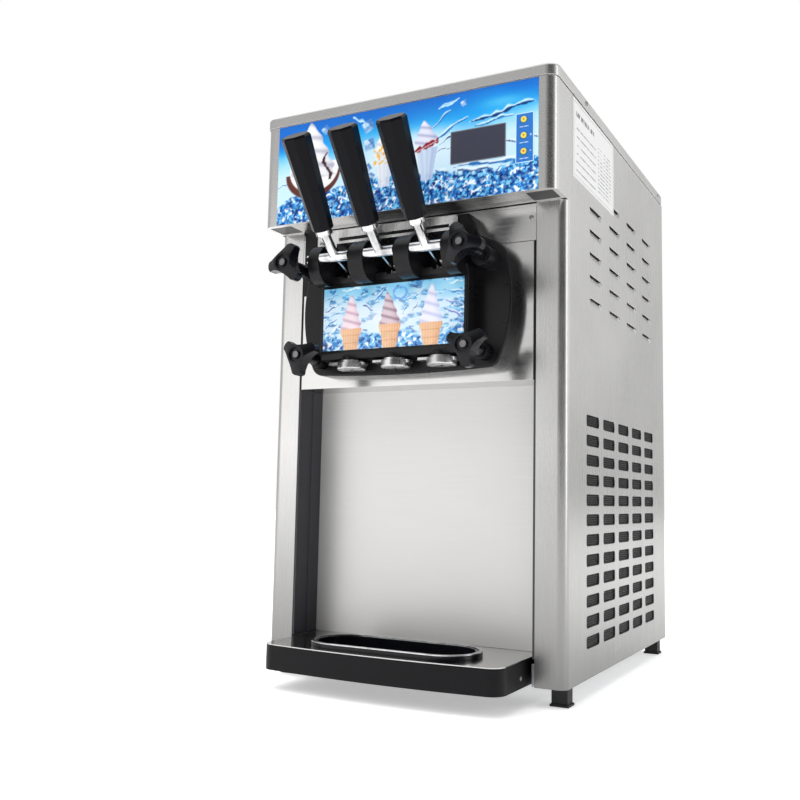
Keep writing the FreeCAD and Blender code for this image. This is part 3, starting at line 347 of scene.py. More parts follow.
def header_steel(name):
    """The header's brushed steel, with a band of painted shade and dark reflection on its floor."""
    steel = bpy.context.scene.soft_serve_steel
    colour = tuple(steel.sheet_colour)
    f = Finish(name, colour, steel.sheet_roughness, metallic=1.0)
    across = 1.0 / steel.grain_pitch
    marks = f.noise((9.0, across, across), detail=4.0, roughness=0.65)
    cloud = f.noise((5.0, 5.0, 5.0), detail=2.0)
    x, _, z = f.axes()
    # Painted shade and dark reflection: a band on the header's floor is painted dark and not metallic.
    painted_dark_band = f.math("MULTIPLY", f.between(z, *PAINTED_DARK_BAND_HEIGHTS), f.spread(x, 0.0, 1.0, *PAINTED_DARK_BAND_LEFT_END))
    painted_dark_band = f.math("MULTIPLY", painted_dark_band, f.spread(x, 1.0, 0.0, *PAINTED_DARK_BAND_RIGHT_END))
    drift = f.blend(cloud, tint(colour, 0.95), tint(colour, 1.05))
    shade = f.blend(f.spread(marks, 0.0, 0.35), drift, tint(colour, 0.80))
    f.put("Base Color", f.blend(painted_dark_band, shade, (0.012, 0.012, 0.013)))
    f.put("Metallic", f.math("SUBTRACT", 1.0, painted_dark_band))
    f.put("Roughness", f.spread(marks, steel.sheet_roughness - 0.05, steel.sheet_roughness + 0.07))
    f.relief(marks, steel.grain_depth, 0.0002, 0.0008)
    return f.material


def stud_metal(name):
    """Bright turned ends on the door's studs, black oxide on their shanks and knurled nuts."""
    f = Finish(name, (0.05, 0.05, 0.05), 0.36, metallic=1.0)
    y = f.axes()[1]
    turned = f.noise((900.0, 900.0, 900.0), detail=3.0)
    bare = f.math("LESS_THAN", y, STUD_BARE_FROM)
    bright = f.blend(f.spread(turned, 0.0, 1.0), (0.13, 0.13, 0.13), (0.26, 0.26, 0.26))
    f.put("Base Color", f.blend(bare, (0.030, 0.030, 0.032), bright))
    f.put("Roughness", f.spread(turned, 0.30, 0.46))
    f.relief(turned, 0.10, 0.0003, 0.0006)
    return f.material


def dress(material, *names):
    """Give CAD nodes a finish."""
    for name in names:
        mesh = NODES[name].data
        mesh.materials.clear()
        mesh.materials.append(material)


# ---------------------------------------------------------------- print shop


def ramp(low, high, value):
    """0 below low, 1 above high, smooth between."""
    t = np.clip((value - low) / (high - low), 0.0, 1.0)
    return t * t * (3.0 - 2.0 * t)


def lay(under, over, cover):
    """Print one colour over another where cover is 1."""
    return under + (np.asarray(over) - under) * np.clip(cover, 0.0, 1.0)[..., None]


def scatter(i, j, seed):
    """A repeatable number from 0 to 1 for each cell of a grid."""
    value = np.sin(i * 127.1 + j * 311.7 + seed * 74.7) * 43758.5453
    return value - np.floor(value)


def drift(x, z, seed):
    """Smooth noise from 0 to 1 with grains one unit wide."""
    i, j = np.floor(x), np.floor(z)
    u, v = x - i, z - j
    u, v = u * u * (3 - 2 * u), v * v * (3 - 2 * v)
    low = scatter(i, j, seed) * (1 - u) + scatter(i + 1, j, seed) * u
    high = scatter(i, j + 1, seed) * (1 - u) + scatter(i + 1, j + 1, seed) * u
    return low * (1 - v) + high * v


def plain(colour, x):
    """A picture of one colour, with a point for every x."""
    return np.broadcast_to(np.array(colour), x.shape + (3,))


def crushed_ice(x, z, size, seed, light, dark):
    """Sharp facets of crushed ice: every piece is split into a lit, a clear and a deep blue face."""
    x = x + 3.0 * drift(x / 7.0, z / 7.0, seed + 5)
    i0, j0 = np.floor(x / size), np.floor(z / size)
    near = np.full(x.shape, 9.0)
    second = np.full(x.shape, 9.0)
    shade = np.zeros(x.shape)
    face = np.zeros(x.shape)
    for di in (-1, 0, 1):
        for dj in (-1, 0, 1):
            i, j = i0 + di, j0 + dj
            u = (x - (i + scatter(i, j, seed)) * size) / size
            v = (z - (j + scatter(i, j, seed + 1)) * size) / size
            turn = 6.28 * scatter(i, j, seed + 3)
            a, b = u * np.cos(turn) + v * np.sin(turn), v * np.cos(turn) - u * np.sin(turn)
            gap = np.maximum(np.abs(a) * 1.25, np.abs(b))
            closer = gap < near
            second = np.where(closer, near, np.minimum(second, gap))
            shade = np.where(closer, scatter(i, j, seed + 2), shade)
            face = np.where(closer, np.where(a + b > 0.1, 0.34, np.where(a > b, -0.30, 0.0)), face)
            near = np.where(closer, gap, near)
    tone = np.clip(0.12 + 0.76 * shade + face, 0.0, 1.0)
    navy, blue, cyan, white = (0.02, 0.17, 0.46), (0.05, 0.45, 0.80), (0.40, 0.76, 0.94), (0.94, 0.98, 1.0)
    picture = lay(plain(navy, x), blue, ramp(0.10, 0.22, tone))
    picture = lay(picture, cyan, ramp(0.48, 0.60, tone))
    picture = lay(picture, white, ramp(0.84, 0.92, tone))
    picture = lay(picture, white, light * ramp(0.09, 0.02, second - near) * (face > -0.1))
    return lay(picture, navy, dark * ramp(0.50, 0.75, drift(x / 4.0, z / 3.5, seed + 9)))


def soft_swirl(picture, x, z, centre, base, tip, half, turns, light, shade, lean=0.0):
    """A cone of soft cream laid down in slanting rings."""
    u = np.clip((z - base) / (tip - base), 0.0, 1.0)
    axis = centre + lean * u * u
    ring = u * turns + 0.42 * (x - axis) / half
    width = half * (1.0 - u) ** 0.72 * (1.0 + 0.09 * np.sin(2 * math.pi * ring))
    inside = ramp(0.5, -0.5, np.abs(x - axis) - width) * (z > base) * (z < tip)
    fold = 0.5 + 0.5 * np.sin(2 * math.pi * ring + 0.9)
    side = np.clip((x - axis) / np.maximum(width, 1.0), -1.0, 1.0)
    dark = 0.75 * fold ** 3 + 0.40 * np.clip(side, 0.0, 1.0) ** 2
    colour = lay(plain(light, x), shade, dark)
    return lay(picture, colour, inside)


def stroke(picture, x, z, start, end, thick, colour, wave=1.6, seed=3):
    """A tapered, wavy stroke of water from start to end, with a pale upper edge."""
    u = (x - start[0]) / (end[0] - start[0])
    line = start[1] + (end[1] - start[1]) * u + wave * np.sin(u * 9.0 + seed)
    line = line + wave * (drift(x / 7.0, z / 7.0, seed) - 0.5)
    body = thick * np.sqrt(np.clip(4.0 * u * (1.0 - u), 0.0, 1.0))
    body = body * (0.35 + 0.9 * drift(x / 9.0, z * 0.0, seed + 2))
    live = (u > 0) & (u < 1)
    pale = ramp(1.0, 0.0, np.abs(z - line - body * 0.9) / np.maximum(body * 0.8, 0.1)) * live
    picture = lay(picture, (0.96, 0.99, 1.0), 0.8 * pale)
    return lay(picture, colour, ramp(1.1, 0.6, np.abs(z - line) / np.maximum(body * 0.55, 0.1)) * live)


def ice_cube(picture, x, z, centre, size, turn, seed):
    """One clear ice cube thrown up by the splash."""
    c, s = math.cos(turn), math.sin(turn)
    u = ((x - centre[0]) * c + (z - centre[1]) * s) / size
    v = ((z - centre[1]) * c - (x - centre[0]) * s) / size
    inside = ramp(1.0, 0.86, np.maximum(np.abs(u), np.abs(v)))
    face = np.where(u + 0.4 * v > 0.25, 0.75, np.where(v > 0.1, 0.15, 0.45))
    face = face + 0.35 * (drift(x / 2.4, z / 2.4, seed) - 0.5)
    colour = lay(plain((0.94, 0.985, 1.0), x), (0.10, 0.36, 0.70), face)
    return lay(picture, colour, 0.9 * inside)


def tumbler(picture, x, z, centre, low, high, foot, brim, colour, shade):
    """A glass or cup, wider at its brim, shaded to its right."""
    u = np.clip((z - low) / (high - low), 0.0, 1.0)
    width = foot + (brim - foot) * u ** 1.3
    inside = ramp(0.5, -0.5, np.abs(x - centre) - width) * (z > low) * (z < high)
    side = np.clip((x - centre) / width, -1.0, 1.0)
    ribs = 0.5 + 0.5 * np.cos(side * 11.0)
    filled = lay(plain(colour, x), shade, 0.45 * np.clip(side, 0, 1) + 0.30 * ribs)
    return lay(picture, filled, 0.92 * inside)


def wafer_cone(picture, x, z, centre, low, high, foot, brim):
    """A ribbed wafer cup with a stepped brim."""
    u = np.clip((z - low) / (high - low), 0.0, 1.0)
    width = foot + (brim - foot) * u + np.where(u > 0.72, 1.4, 0.0)
    inside = ramp(0.5, -0.5, np.abs(x - centre) - width) * (z > low) * (z < high)
    ribs = 0.5 + 0.5 * np.cos((x - centre) * 1.5)
    bands = ramp(0.03, 0.0, np.abs(u - 0.72)) + ramp(0.03, 0.0, np.abs(u - 0.40))
    side = np.clip((x - centre) / width, -1.0, 1.0)
    colour = lay(plain((0.95, 0.77, 0.60), x), (0.83, 0.55, 0.36),
                 0.35 * ribs + 0.55 * bands + 0.35 * np.clip(side, 0, 1))
    return lay(picture, colour, 0.93 * inside)


def header_print(x, z):
    """Blue sky over crushed ice, splashes, and three plain desserts; x and z in millimetres."""
    film = bpy.context.scene.soft_serve_film
    t = (z - 696.8) / 158.2
    soft = 0.10 * (drift(x / 60.0, z / 25.0, 1) - 0.5)
    t = t + soft - 0.10 * ramp(60.0, 200.0, x) * ramp(0.4, 0.9, t)
    picture = plain(tuple(film.pale_blue), x)
    picture = lay(picture, (0.60, 0.85, 0.97), ramp(0.50, 0.64, t))
    picture = lay(picture, tuple(film.azure), ramp(0.58, 0.80, t))
    picture = lay(picture, tuple(film.deep_blue), ramp(0.76, 0.98, t + 0.08 * ramp(150.0, 215.0, np.abs(x))))
    glow = np.exp(-((x - 10.0) / 85.0) ** 2 - ((z - 782.0) / 30.0) ** 2)
    picture = lay(picture, (0.95, 0.98, 1.0), 0.75 * glow)
    haze = np.exp(-((x - 165.0) / 34.0) ** 2 - ((z - 830.0) / 8.0) ** 2)
    picture = lay(picture, (0.45, 0.82, 0.93), 0.55 * haze)
    navy, sea = (0.04, 0.20, 0.46), (0.08, 0.42, 0.72)
    for start, end, thick, colour, seed in (
        ((112, 806), (211, 823), 5.5, navy, 1), ((120, 800), (180, 809), 3.2, sea, 2),
        ((62, 792), (112, 818), 4.2, sea, 3), ((66, 784), (100, 797), 3.0, navy, 4),
        ((60, 772), (92, 779), 2.6, sea, 5), ((88, 746), (214, 742), 5.0, sea, 6),
        ((92, 739), (150, 735), 4.0, navy, 7), ((166, 770), (216, 772), 3.8, navy, 8),
        ((60, 745), (92, 733), 4.5, sea, 9), ((-214, 757), (-196, 762), 2.4, sea, 10),
        ((-118, 826), (-82, 838), 3.0, sea, 11), ((64, 836), (98, 845), 2.6, (0.75, 0.93, 1.0), 12),
        ((-80, 848), (-58, 836), 2.6, (0.80, 0.95, 1.0), 13), ((52, 806), (84, 832), 3.0, sea, 14),
    ):
        picture = stroke(picture, x, z, start, end, thick, colour, 1.4, seed)
    for place, size, turn, seed in (
        ((-52, 831), 9.5, 0.5, 1), ((-50, 802), 9.0, 0.2, 2), ((-128, 838), 6.5, 0.7, 3),
        ((-52, 766), 6.0, 0.6, 4), ((-62, 782), 4.0, 0.2, 5), ((-90, 812), 4.0, 1.0, 6),
        ((-46, 752), 5.5, 0.9, 7), ((104, 838), 4.5, 0.4, 8),
    ):
        picture = ice_cube(picture, x, z, place, size, turn, seed)
    # Ice fills the foot of the print up to an uneven line.
    line = np.interp(x, (-215, -190, -78, -26, 74, 152, 216), (722, 738, 744, 750, 738, 734, 742))
    line = line + 9.0 * (drift(x / 9.0, z * 0.0, 4) - 0.5) + 5.0 * (drift(x / 3.0, z / 3.0, 6) - 0.5)
    ice = crushed_ice(x, z, film.ice_size / MM, 2, 0.5, 0.55)
    picture = lay(picture, ice, ramp(3.0, -3.0, z - line))
    melt = ramp(5.0, 0.0, np.abs(z - line - 3.0)) * drift(x / 4.0, z / 4.0, 8)
    picture = lay(picture, (0.85, 0.95, 1.0), 0.5 * melt)
    # Tall white swirl in a chocolate shell.
    shell = (0.36, 0.15, 0.09)
    bowl = ((x + 150.0) / 50.0) ** 2 + ((z - 772.0) / 40.0) ** 2
    cream = (0.955, 0.955, 0.965)
    picture = lay(picture, shell, ramp(1.02, 0.94, bowl) * (z < 774))
    inner = ((x + 148.0) / 45.0) ** 2 + ((z - 778.0) / 36.0) ** 2
    picture = lay(picture, cream, ramp(1.02, 0.94, inner) * (z < 788))
    picture = soft_swirl(picture, x, z, -150.0, 764.0, 853.0, 42.0, 4.2, cream, (0.70, 0.70, 0.76), -5.0)
    drizzle = np.abs(x + 124.0 - 7.0 * np.sin((z - 752.0) / 8.0)) - 4.5 * drift(x / 5.0, z / 6.0, 12)
    picture = lay(picture, (0.24, 0.10, 0.08), ramp(0.6, -0.6, drizzle) * (z > 758) * (z < 802))
    # Fruit cup.
    picture = tumbler(picture, x, z, -24.0, 733.0, 786.0, 9.0, 17.0, (0.93, 0.94, 0.97), (0.74, 0.78, 0.88))
    picture = soft_swirl(picture, x, z, -26.0, 782.0, 822.0, 17.0, 3.0, (0.97, 0.96, 0.94),
                         (0.80, 0.79, 0.82))
    fruit = ramp(0.52, 0.60, drift(x / 3.6, z / 4.2, 15)) * ramp(17.5, 16.0, np.abs(x + 25.0))
    picture = lay(picture, (0.96, 0.72, 0.12), 0.95 * fruit * (z > 768) * (z < 797))
    # Sundae glass with red sauce.
    picture = tumbler(picture, x, z, 46.5, 733.0, 780.0, 9.0, 17.0, (0.82, 0.88, 0.96), (0.55, 0.64, 0.82))
    picture = soft_swirl(picture, x, z, 45.0, 786.0, 823.0, 20.0, 3.0, (0.90, 0.91, 0.97),
                         (0.62, 0.64, 0.80), -4.0)
    sauce = np.abs(z - 784.0 - 0.30 * (x - 45.0)) - 6.0 + 5.0 * drift(x / 3.5, z * 0.0, 18)
    picture = lay(picture, (0.58, 0.07, 0.10), ramp(0.6, -0.6, sauce) * ramp(19.5, 18.5, np.abs(x - 45.5)))
    picture = lay(picture, (0.90, 0.88, 0.93), 0.9 * ramp(1.0, 0.2, np.abs(z - 783.0 - 0.35 * (x - 45.0)))
                  * ramp(18.0, 17.0, np.abs(x - 45.5)))
    return picture


def head_print(x, z):
    """Pale water with three wafer cups of soft cream; x and z in millimetres."""
    t = (z - 490.0) / 93.0
    picture = plain((0.83, 0.92, 0.975), x)
    depth = t + 0.22 * (drift(x / 22.0, z / 14.0, 2) - 0.5)
    picture = lay(picture, (0.50, 0.79, 0.93), ramp(0.62, 1.02, depth))
    glow = np.exp(-((x + 8.0) / 50.0) ** 2 - ((z - 535.0) / 20.0) ** 2)
    picture = lay(picture, (0.92, 0.94, 0.985), 0.8 * glow)
    # Splinters of ice show through the water in patches.
    splinters = crushed_ice(x * 0.5 + 0.4 * z, z, 4.6, 8, 0.8, 0.2)
    patches = ramp(0.46, 0.68, drift(x / 11.0, z / 6.0, 31))
    picture = lay(picture, splinters, 0.62 * patches * (1.0 - 0.7 * glow))
    sea, navy, violet = (0.20, 0.56, 0.84), (0.10, 0.32, 0.66), (0.42, 0.46, 0.80)
    for start, end, thick, colour, seed in (
        ((-112, 566), (-90, 574), 2.6, sea, 1), ((-112, 548), (-92, 556), 2.4, navy, 2),
        ((-112, 536), (-86, 548), 2.2, sea, 3), ((-112, 524), (-90, 538), 2.6, sea, 4),
        ((-30, 556), (-12, 574), 3.4, sea, 5), ((26, 556), (44, 562), 2.6, sea, 6),
        ((84, 566), (113, 560), 2.4, sea, 7), ((84, 552), (113, 545), 2.4, violet, 8),
        ((86, 540), (113, 526), 2.8, violet, 9), ((-48, 556), (-30, 546), 3.2, navy, 10),
        ((18, 536), (28, 552), 2.6, sea, 11), ((34, 540), (44, 552), 2.6, navy, 12),
        ((-110, 510), (-88, 526), 2.6, (1.0, 1.0, 1.0), 13),
        ((-84, 578), (-50, 580), 2.2, (0.9, 0.97, 1.0), 14),
        ((90, 575), (112, 577), 1.8, (0.9, 0.97, 1.0), 15),
    ):
        picture = stroke(picture, x, z, start, end, thick, colour, 1.0, seed)
    ring = np.abs(np.hypot((x - 14.0) / 1.25, z - 568.0) - 8.5) - 2.4 * drift(x / 3.0, z / 3.0, 21)
    picture = lay(picture, (0.38, 0.62, 0.90), 0.85 * ramp(0.8, -0.6, ring))
    line = np.interp(x, (-114, -88, -80, -50, -34, 20, 50, 84, 114),
                     (520, 512, 500, 508, 512, 512, 500, 506, 522))
    line = line + 6.0 * (drift(x / 6.0, z * 0.0, 4) - 0.5)
    ice = lay(crushed_ice(x, z, 7.0, 5, 0.7, 0.25), (0.92, 0.95, 1.0), np.full(x.shape, 0.22))
    picture = lay(picture, ice, ramp(2.5, -2.5, z - line))
    for centre, low, high, brim, tip, half, light, shade, lean in (
        (-66.5, 486.0, 521.0, 16.5, 571.0, 18.5, (0.95, 0.88, 0.91), (0.76, 0.62, 0.70), 0.5),
        (-2.0, 486.0, 524.0, 16.5, 571.0, 17.5, (0.86, 0.78, 0.81), (0.56, 0.44, 0.50), -5.0),
        (63.5, 486.0, 522.0, 17.0, 578.0, 18.5, (0.93, 0.93, 0.98), (0.74, 0.76, 0.90), 1.5),
    ):
        picture = soft_swirl(picture, x, z, centre, high - 4.0, tip, half, 4.2, light, shade, lean)
        picture = wafer_cone(picture, x, z, centre, low, high, 10.5, brim)
    return picture


def film_steps(marks, step):
    """Even steps that also fall on each mark."""
    out = [marks[0]]
    for a, b in zip(marks, marks[1:]):
        count = max(1, round((b - a) / step))
        out += [a + (b - a) * (k + 1) / count for k in range(count)]
    return np.array(out)


def printed_film(name, xs, zs, y_front, thickness, gaps, picture, material):
    """A thin film facing -Y whose print is stored in its points' colours; lengths in millimetres."""
    x, z = np.meshgrid(xs, zs)
    points = np.stack([x * MM, np.full(x.shape, y_front), z * MM], axis=-1).reshape(-1, 3)
    cx, cz = (xs[1:] + xs[:-1]) / 2, (zs[1:] + zs[:-1]) / 2
    faces = []
    across = len(xs)
    for j, zc in enumerate(cz):
        for i, xc in enumerate(cx):
            if not any(g[0] < xc < g[1] and g[2] < zc < g[3] for g in gaps):
                a = j * across + i
                faces.append((a, a + 1, a + across + 1, a + across))
    mesh = bpy.data.meshes.new(name)
    mesh.from_pydata(points.tolist(), [], faces)
    shown = picture(x, z).reshape(-1, 3)
    linear = np.where(shown <= 0.04045, shown / 12.92, ((np.clip(shown, 0, 1) + 0.055) / 1.055) ** 2.4)
    colours = mesh.attributes.new("print", "FLOAT_COLOR", "POINT")
    opaque = np.hstack([linear, np.ones((len(linear), 1))])
    colours.data.foreach_set("color", opaque.astype(np.float32).ravel())
    mesh.materials.append(material)
    film = bpy.data.objects.new(name, mesh)
    bpy.context.scene.collection.objects.link(film)
    thick = film.modifiers.new("Film thickness", "SOLIDIFY")
    thick.thickness = thickness * MM
    thick.offset = -1.0
    return film


def film_material(name, gloss):
    """Printed film under a clear glossy skin, with print grain and faint ripples."""
    f = Finish(name, (0.5, 0.7, 0.9), gloss, coat=0.12, coat_roughness=0.08, ior=1.33)
    stored = f.node("ShaderNodeAttribute", attribute_name="print")
    grain = f.noise((2600.0, 2600.0, 2600.0), detail=1.0)
    ripple = f.noise((9.0, 9.0, 9.0), detail=2.0)
    f.put("Base Color", f.blend(f.spread(grain, 0.0, 0.10), stored.outputs["Color"], (0.02, 0.08, 0.2)))
    f.put("Roughness", f.spread(ripple, gloss - 0.05, gloss + 0.06))
    f.relief(ripple, 0.15, 0.0006)
    return f.material


# ---------------------------------------------------------------- geometry node helpers


def new_tree(name, inputs):
    """An empty geometry tree with named inputs, given as (name, socket type)."""
    tree = bpy.data.node_groups.new(name, "GeometryNodeTree")
    tree.interface.new_socket("Geometry", in_out="INPUT", socket_type="NodeSocketGeometry")
    for label, kind in inputs:
        tree.interface.new_socket(label, in_out="INPUT", socket_type=kind)
    tree.interface.new_socket("Geometry", in_out="OUTPUT", socket_type="NodeSocketGeometry")
    return tree, tree.nodes.new("NodeGroupInput"), tree.nodes.new("NodeGroupOutput")


def grown(name, tree, base, values):
    """Run a geometry tree on a base mesh and keep the result as a plain mesh object."""
    seed = bpy.data.objects.new(name + "_base", base)
    bpy.context.scene.collection.objects.link(seed)
    modifier = seed.modifiers.new("Tree", "NODES")
    modifier.node_group = tree
    sockets = {s.name: s.identifier for s in tree.interface.items_tree if s.in_out == "INPUT"}
    for label, value in values.items():
        modifier[sockets[label]] = value
    evaluated = seed.evaluated_get(bpy.context.evaluated_depsgraph_get())
    mesh = bpy.data.meshes.new_from_object(evaluated)
    mesh.name = name
    bpy.data.objects.remove(seed)
    made = bpy.data.objects.new(name, mesh)
    bpy.context.scene.collection.objects.link(made)
    return made


def screw_head():
    """A pan head of radius 1 along +Z with a cross recess."""
    profile = ((1.0, 0.0), (1.0, 0.10), (0.94, 0.24), (0.78, 0.36), (0.52, 0.44), (0.0, 0.47))
    count = 24
    points, faces = [], []
    for r, h in profile[:-1]:
        points += [(r * math.cos(2 * math.pi * k / count), r * math.sin(2 * math.pi * k / count), h)
                   for k in range(count)]
    for row in range(len(profile) - 2):
        for k in range(count):
            a, b = row * count + k, row * count + (k + 1) % count
            faces.append((a, b, b + count, a + count))
    faces.append(tuple(range((len(profile) - 2) * count, (len(profile) - 1) * count)))
    faces.append(tuple(reversed(range(count))))
    head = bpy.data.meshes.new("screw_head")
    head.from_pydata(points, [], faces)
    body = bpy.data.objects.new("screw_head", head)
    arms = bpy.data.meshes.new("screw_cross")
    arm, long, low, high = 0.11, 0.52, 0.16, 0.60
    outline = [(arm, arm), (arm, long), (-arm, long), (-arm, arm), (-long, arm), (-long, -arm),
               (-arm, -arm), (-arm, -long), (arm, -long), (arm, -arm), (long, -arm), (long, arm)]
    n = len(outline)
    sides = [(k, (k + 1) % n, n + (k + 1) % n, n + k) for k in range(n)]
    arms.from_pydata([(x, y, low) for x, y in outline] + [(x, y, high) for x, y in outline], [],
                     sides + [tuple(reversed(range(n))), tuple(range(n, 2 * n))])
    cutter = bpy.data.objects.new("screw_cross", arms)
    for o in (body, cutter):
        bpy.context.scene.collection.objects.link(o)
    recess = body.modifiers.new("Recess", "BOOLEAN")
    recess.operation = "DIFFERENCE"
    recess.solver = "EXACT"
    recess.object = cutter
    mesh = bpy.data.meshes.new_from_object(body.evaluated_get(bpy.context.evaluated_depsgraph_get()))
    for o in (body, cutter):
        bpy.data.objects.remove(o)
    return bpy.data.objects.new("screw_pattern", mesh)


def at(x, y, z):
    """A design point, in millimetres from the column face's middle, as metres in the machine's frame."""
    return (x * MM, y * MM + COLUMN_FACE_Y, z * MM)


# ---------------------------------------------------------------- operators


class SOFTSERVE_OT_steelwork(bpy.types.Operator):
    """Finish the cabinet's sheet steel and the food-side steel parts"""

    bl_idname = "soft_serve.steelwork"
    bl_label = "Steelwork"

    def execute(self, context):
        steel = context.scene.soft_serve_steel
        # The side sheets get a deeper painted shade towards the counter.
        dress(brushed_steel("side_sheet_steel", "Z", low=0.33),
              "left_side_panel", "right_side_panel", "rear_panel")
        dress(brushed_steel("lid_sheet_steel", "X"), "lid")
        dress(header_steel("header_sheet_steel"), "header_shell")
        dress(brushed_steel("panel_sheet_steel", "X", roughness=0.17, depth=0.06), "upper_front_panels")
        # Painted light: the recess sheet is the same sheet steel painted lighter, with a lighter painted
        # shade towards the counter.
        dress(brushed_steel("recess_sheet_steel", "X", tint(tuple(steel.sheet_colour), 1.16), 0.40,
                            depth=0.12, low=0.84, metallic=0.42), "recess_panel")
        dress(brushed_steel("plate_steel", "X", roughness=0.11, depth=0.03, low=1.0),
              "base_top_plate", "front_plate")
        dress(brushed_steel("hopper_steel", "Y", roughness=0.22), "hopper_left", "hopper_right",
              "hopper_cover_left", "hopper_cover_right", "freezing_cylinders", "beater_left", "beater_right")
        dress(bright_metal("handle_chrome", grain="Z"), "handle_left", "handle_middle", "handle_right")
        dress(bright_metal("pin_chrome", grain="X"), "pivot_pin")
        dress(bright_metal("rim_chrome", tuple(steel.bright_colour), 0.16, "Y"), "tray_rim")
        dress(bright_metal("bar_steel", (0.80, 0.80, 0.79), 0.20, "Z", 0.10), "stop_bar")
        dress(bright_metal("cast_nozzle", (0.74, 0.74, 0.75), 0.27, "Z", 0.15), "nozzle_caps")
        dress(bright_metal("pulley_metal", (0.66, 0.66, 0.67), 0.30, "Y", 0.12), "motor_pulley")
        dress(enamel("galvanised_frame", (0.42, 0.43, 0.44), 0.45, 0.9), "chassis_frame")
        dress(enamel("black_oxide", (0.045, 0.045, 0.048), 0.38, 0.8), "compressor", "condenser")
        dress(stud_metal("stud_metal"), "door_studs")
        dress(enamel("motor_enamel", (0.10, 0.12, 0.15), 0.42), "drive_motor")
        return {"FINISHED"}


class SOFTSERVE_OT_mouldings(bpy.types.Operator):
    """Finish the black mouldings, grips, hand knobs, rubber parts and pistons"""

    bl_idname = "soft_serve.mouldings"
    bl_label = "Mouldings"

    def execute(self, context):
        shop = context.scene.soft_serve_moulding
        satin, gloss = tuple(shop.satin_colour), tuple(shop.gloss_colour)
        dress(moulding("head_moulding", satin, 0.30, 0.22, ior=1.30), "door_body", "black_trims")
        dress(moulding("base_moulding", satin, 0.40, 0.14, ior=1.22), "drip_base")
        dress(moulding("liner_moulding", tint(satin, 6.5), 0.46, 0.10, ior=1.38), "recess_liners")
        dress(moulding("grip_moulding", gloss, 0.22, 0.07, ior=1.20),
              "grip_left", "grip_middle", "grip_right")
        dress(moulding("knob_moulding", gloss, 0.25, 0.12, ior=1.33), "knob_upper_left", "knob_upper_right",
              "knob_lower_left", "knob_lower_right")
        dress(moulding("tray_moulding", gloss, 0.22, 0.06), "drip_tray")
        dress(moulding("foot_rubber", (0.016, 0.016, 0.016), 0.62, 0.30), "feet", "door_seals", "drive_belt")
        dress(moulding("gland_nylon", satin, 0.42, 0.15), "cord_gland", "condenser_fan")
        dress(moulding("piston_nylon", (0.78, 0.78, 0.75), 0.34, 0.08), "plunger_left", "plunger_middle",
              "plunger_right")
        return {"FINISHED"}


class SOFTSERVE_OT_header_film(bpy.types.Operator):
    """Print and lay the header's film"""

    bl_idname = "soft_serve.header_film"
    bl_label = "Header film"

    def execute(self, context):
        low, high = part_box("header_graphic")
        step = context.scene.soft_serve_film.header_step / MM
        xs = film_steps([low.x / MM, 84.0, 168.5, 183.0, 209.3, high.x / MM], step)
        zs = film_steps([low.z / MM, 736.5, 749.5, 798.0, 807.0, high.z / MM], step)
        gaps = [(84.0, 168.5, 749.5, 798.0), (183.0, 209.3, 736.5, 807.0)]
        film = printed_film("header_film", xs, zs, low.y, (high.y - low.y) / MM, gaps, header_print,
                            film_material("header_film_print", 0.22))
        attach(film, "cabinet")
        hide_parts("header_graphic")
        return {"FINISHED"}


class SOFTSERVE_OT_head_film(bpy.types.Operator):
    """Print and lay the dispensing head's film"""

    bl_idname = "soft_serve.head_film"
    bl_label = "Head film"

    def execute(self, context):
        low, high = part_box("door_graphic")
        step = context.scene.soft_serve_film.head_step / MM
        xs = film_steps([low.x / MM, high.x / MM], step)
        zs = film_steps([low.z / MM, high.z / MM], step)
        film = printed_film("head_film", xs, zs, low.y, (high.y - low.y) / MM, [], head_print,
                            film_material("head_film_print", 0.24))
        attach(film, "cabinet")
        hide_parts("door_graphic")
        return {"FINISHED"}


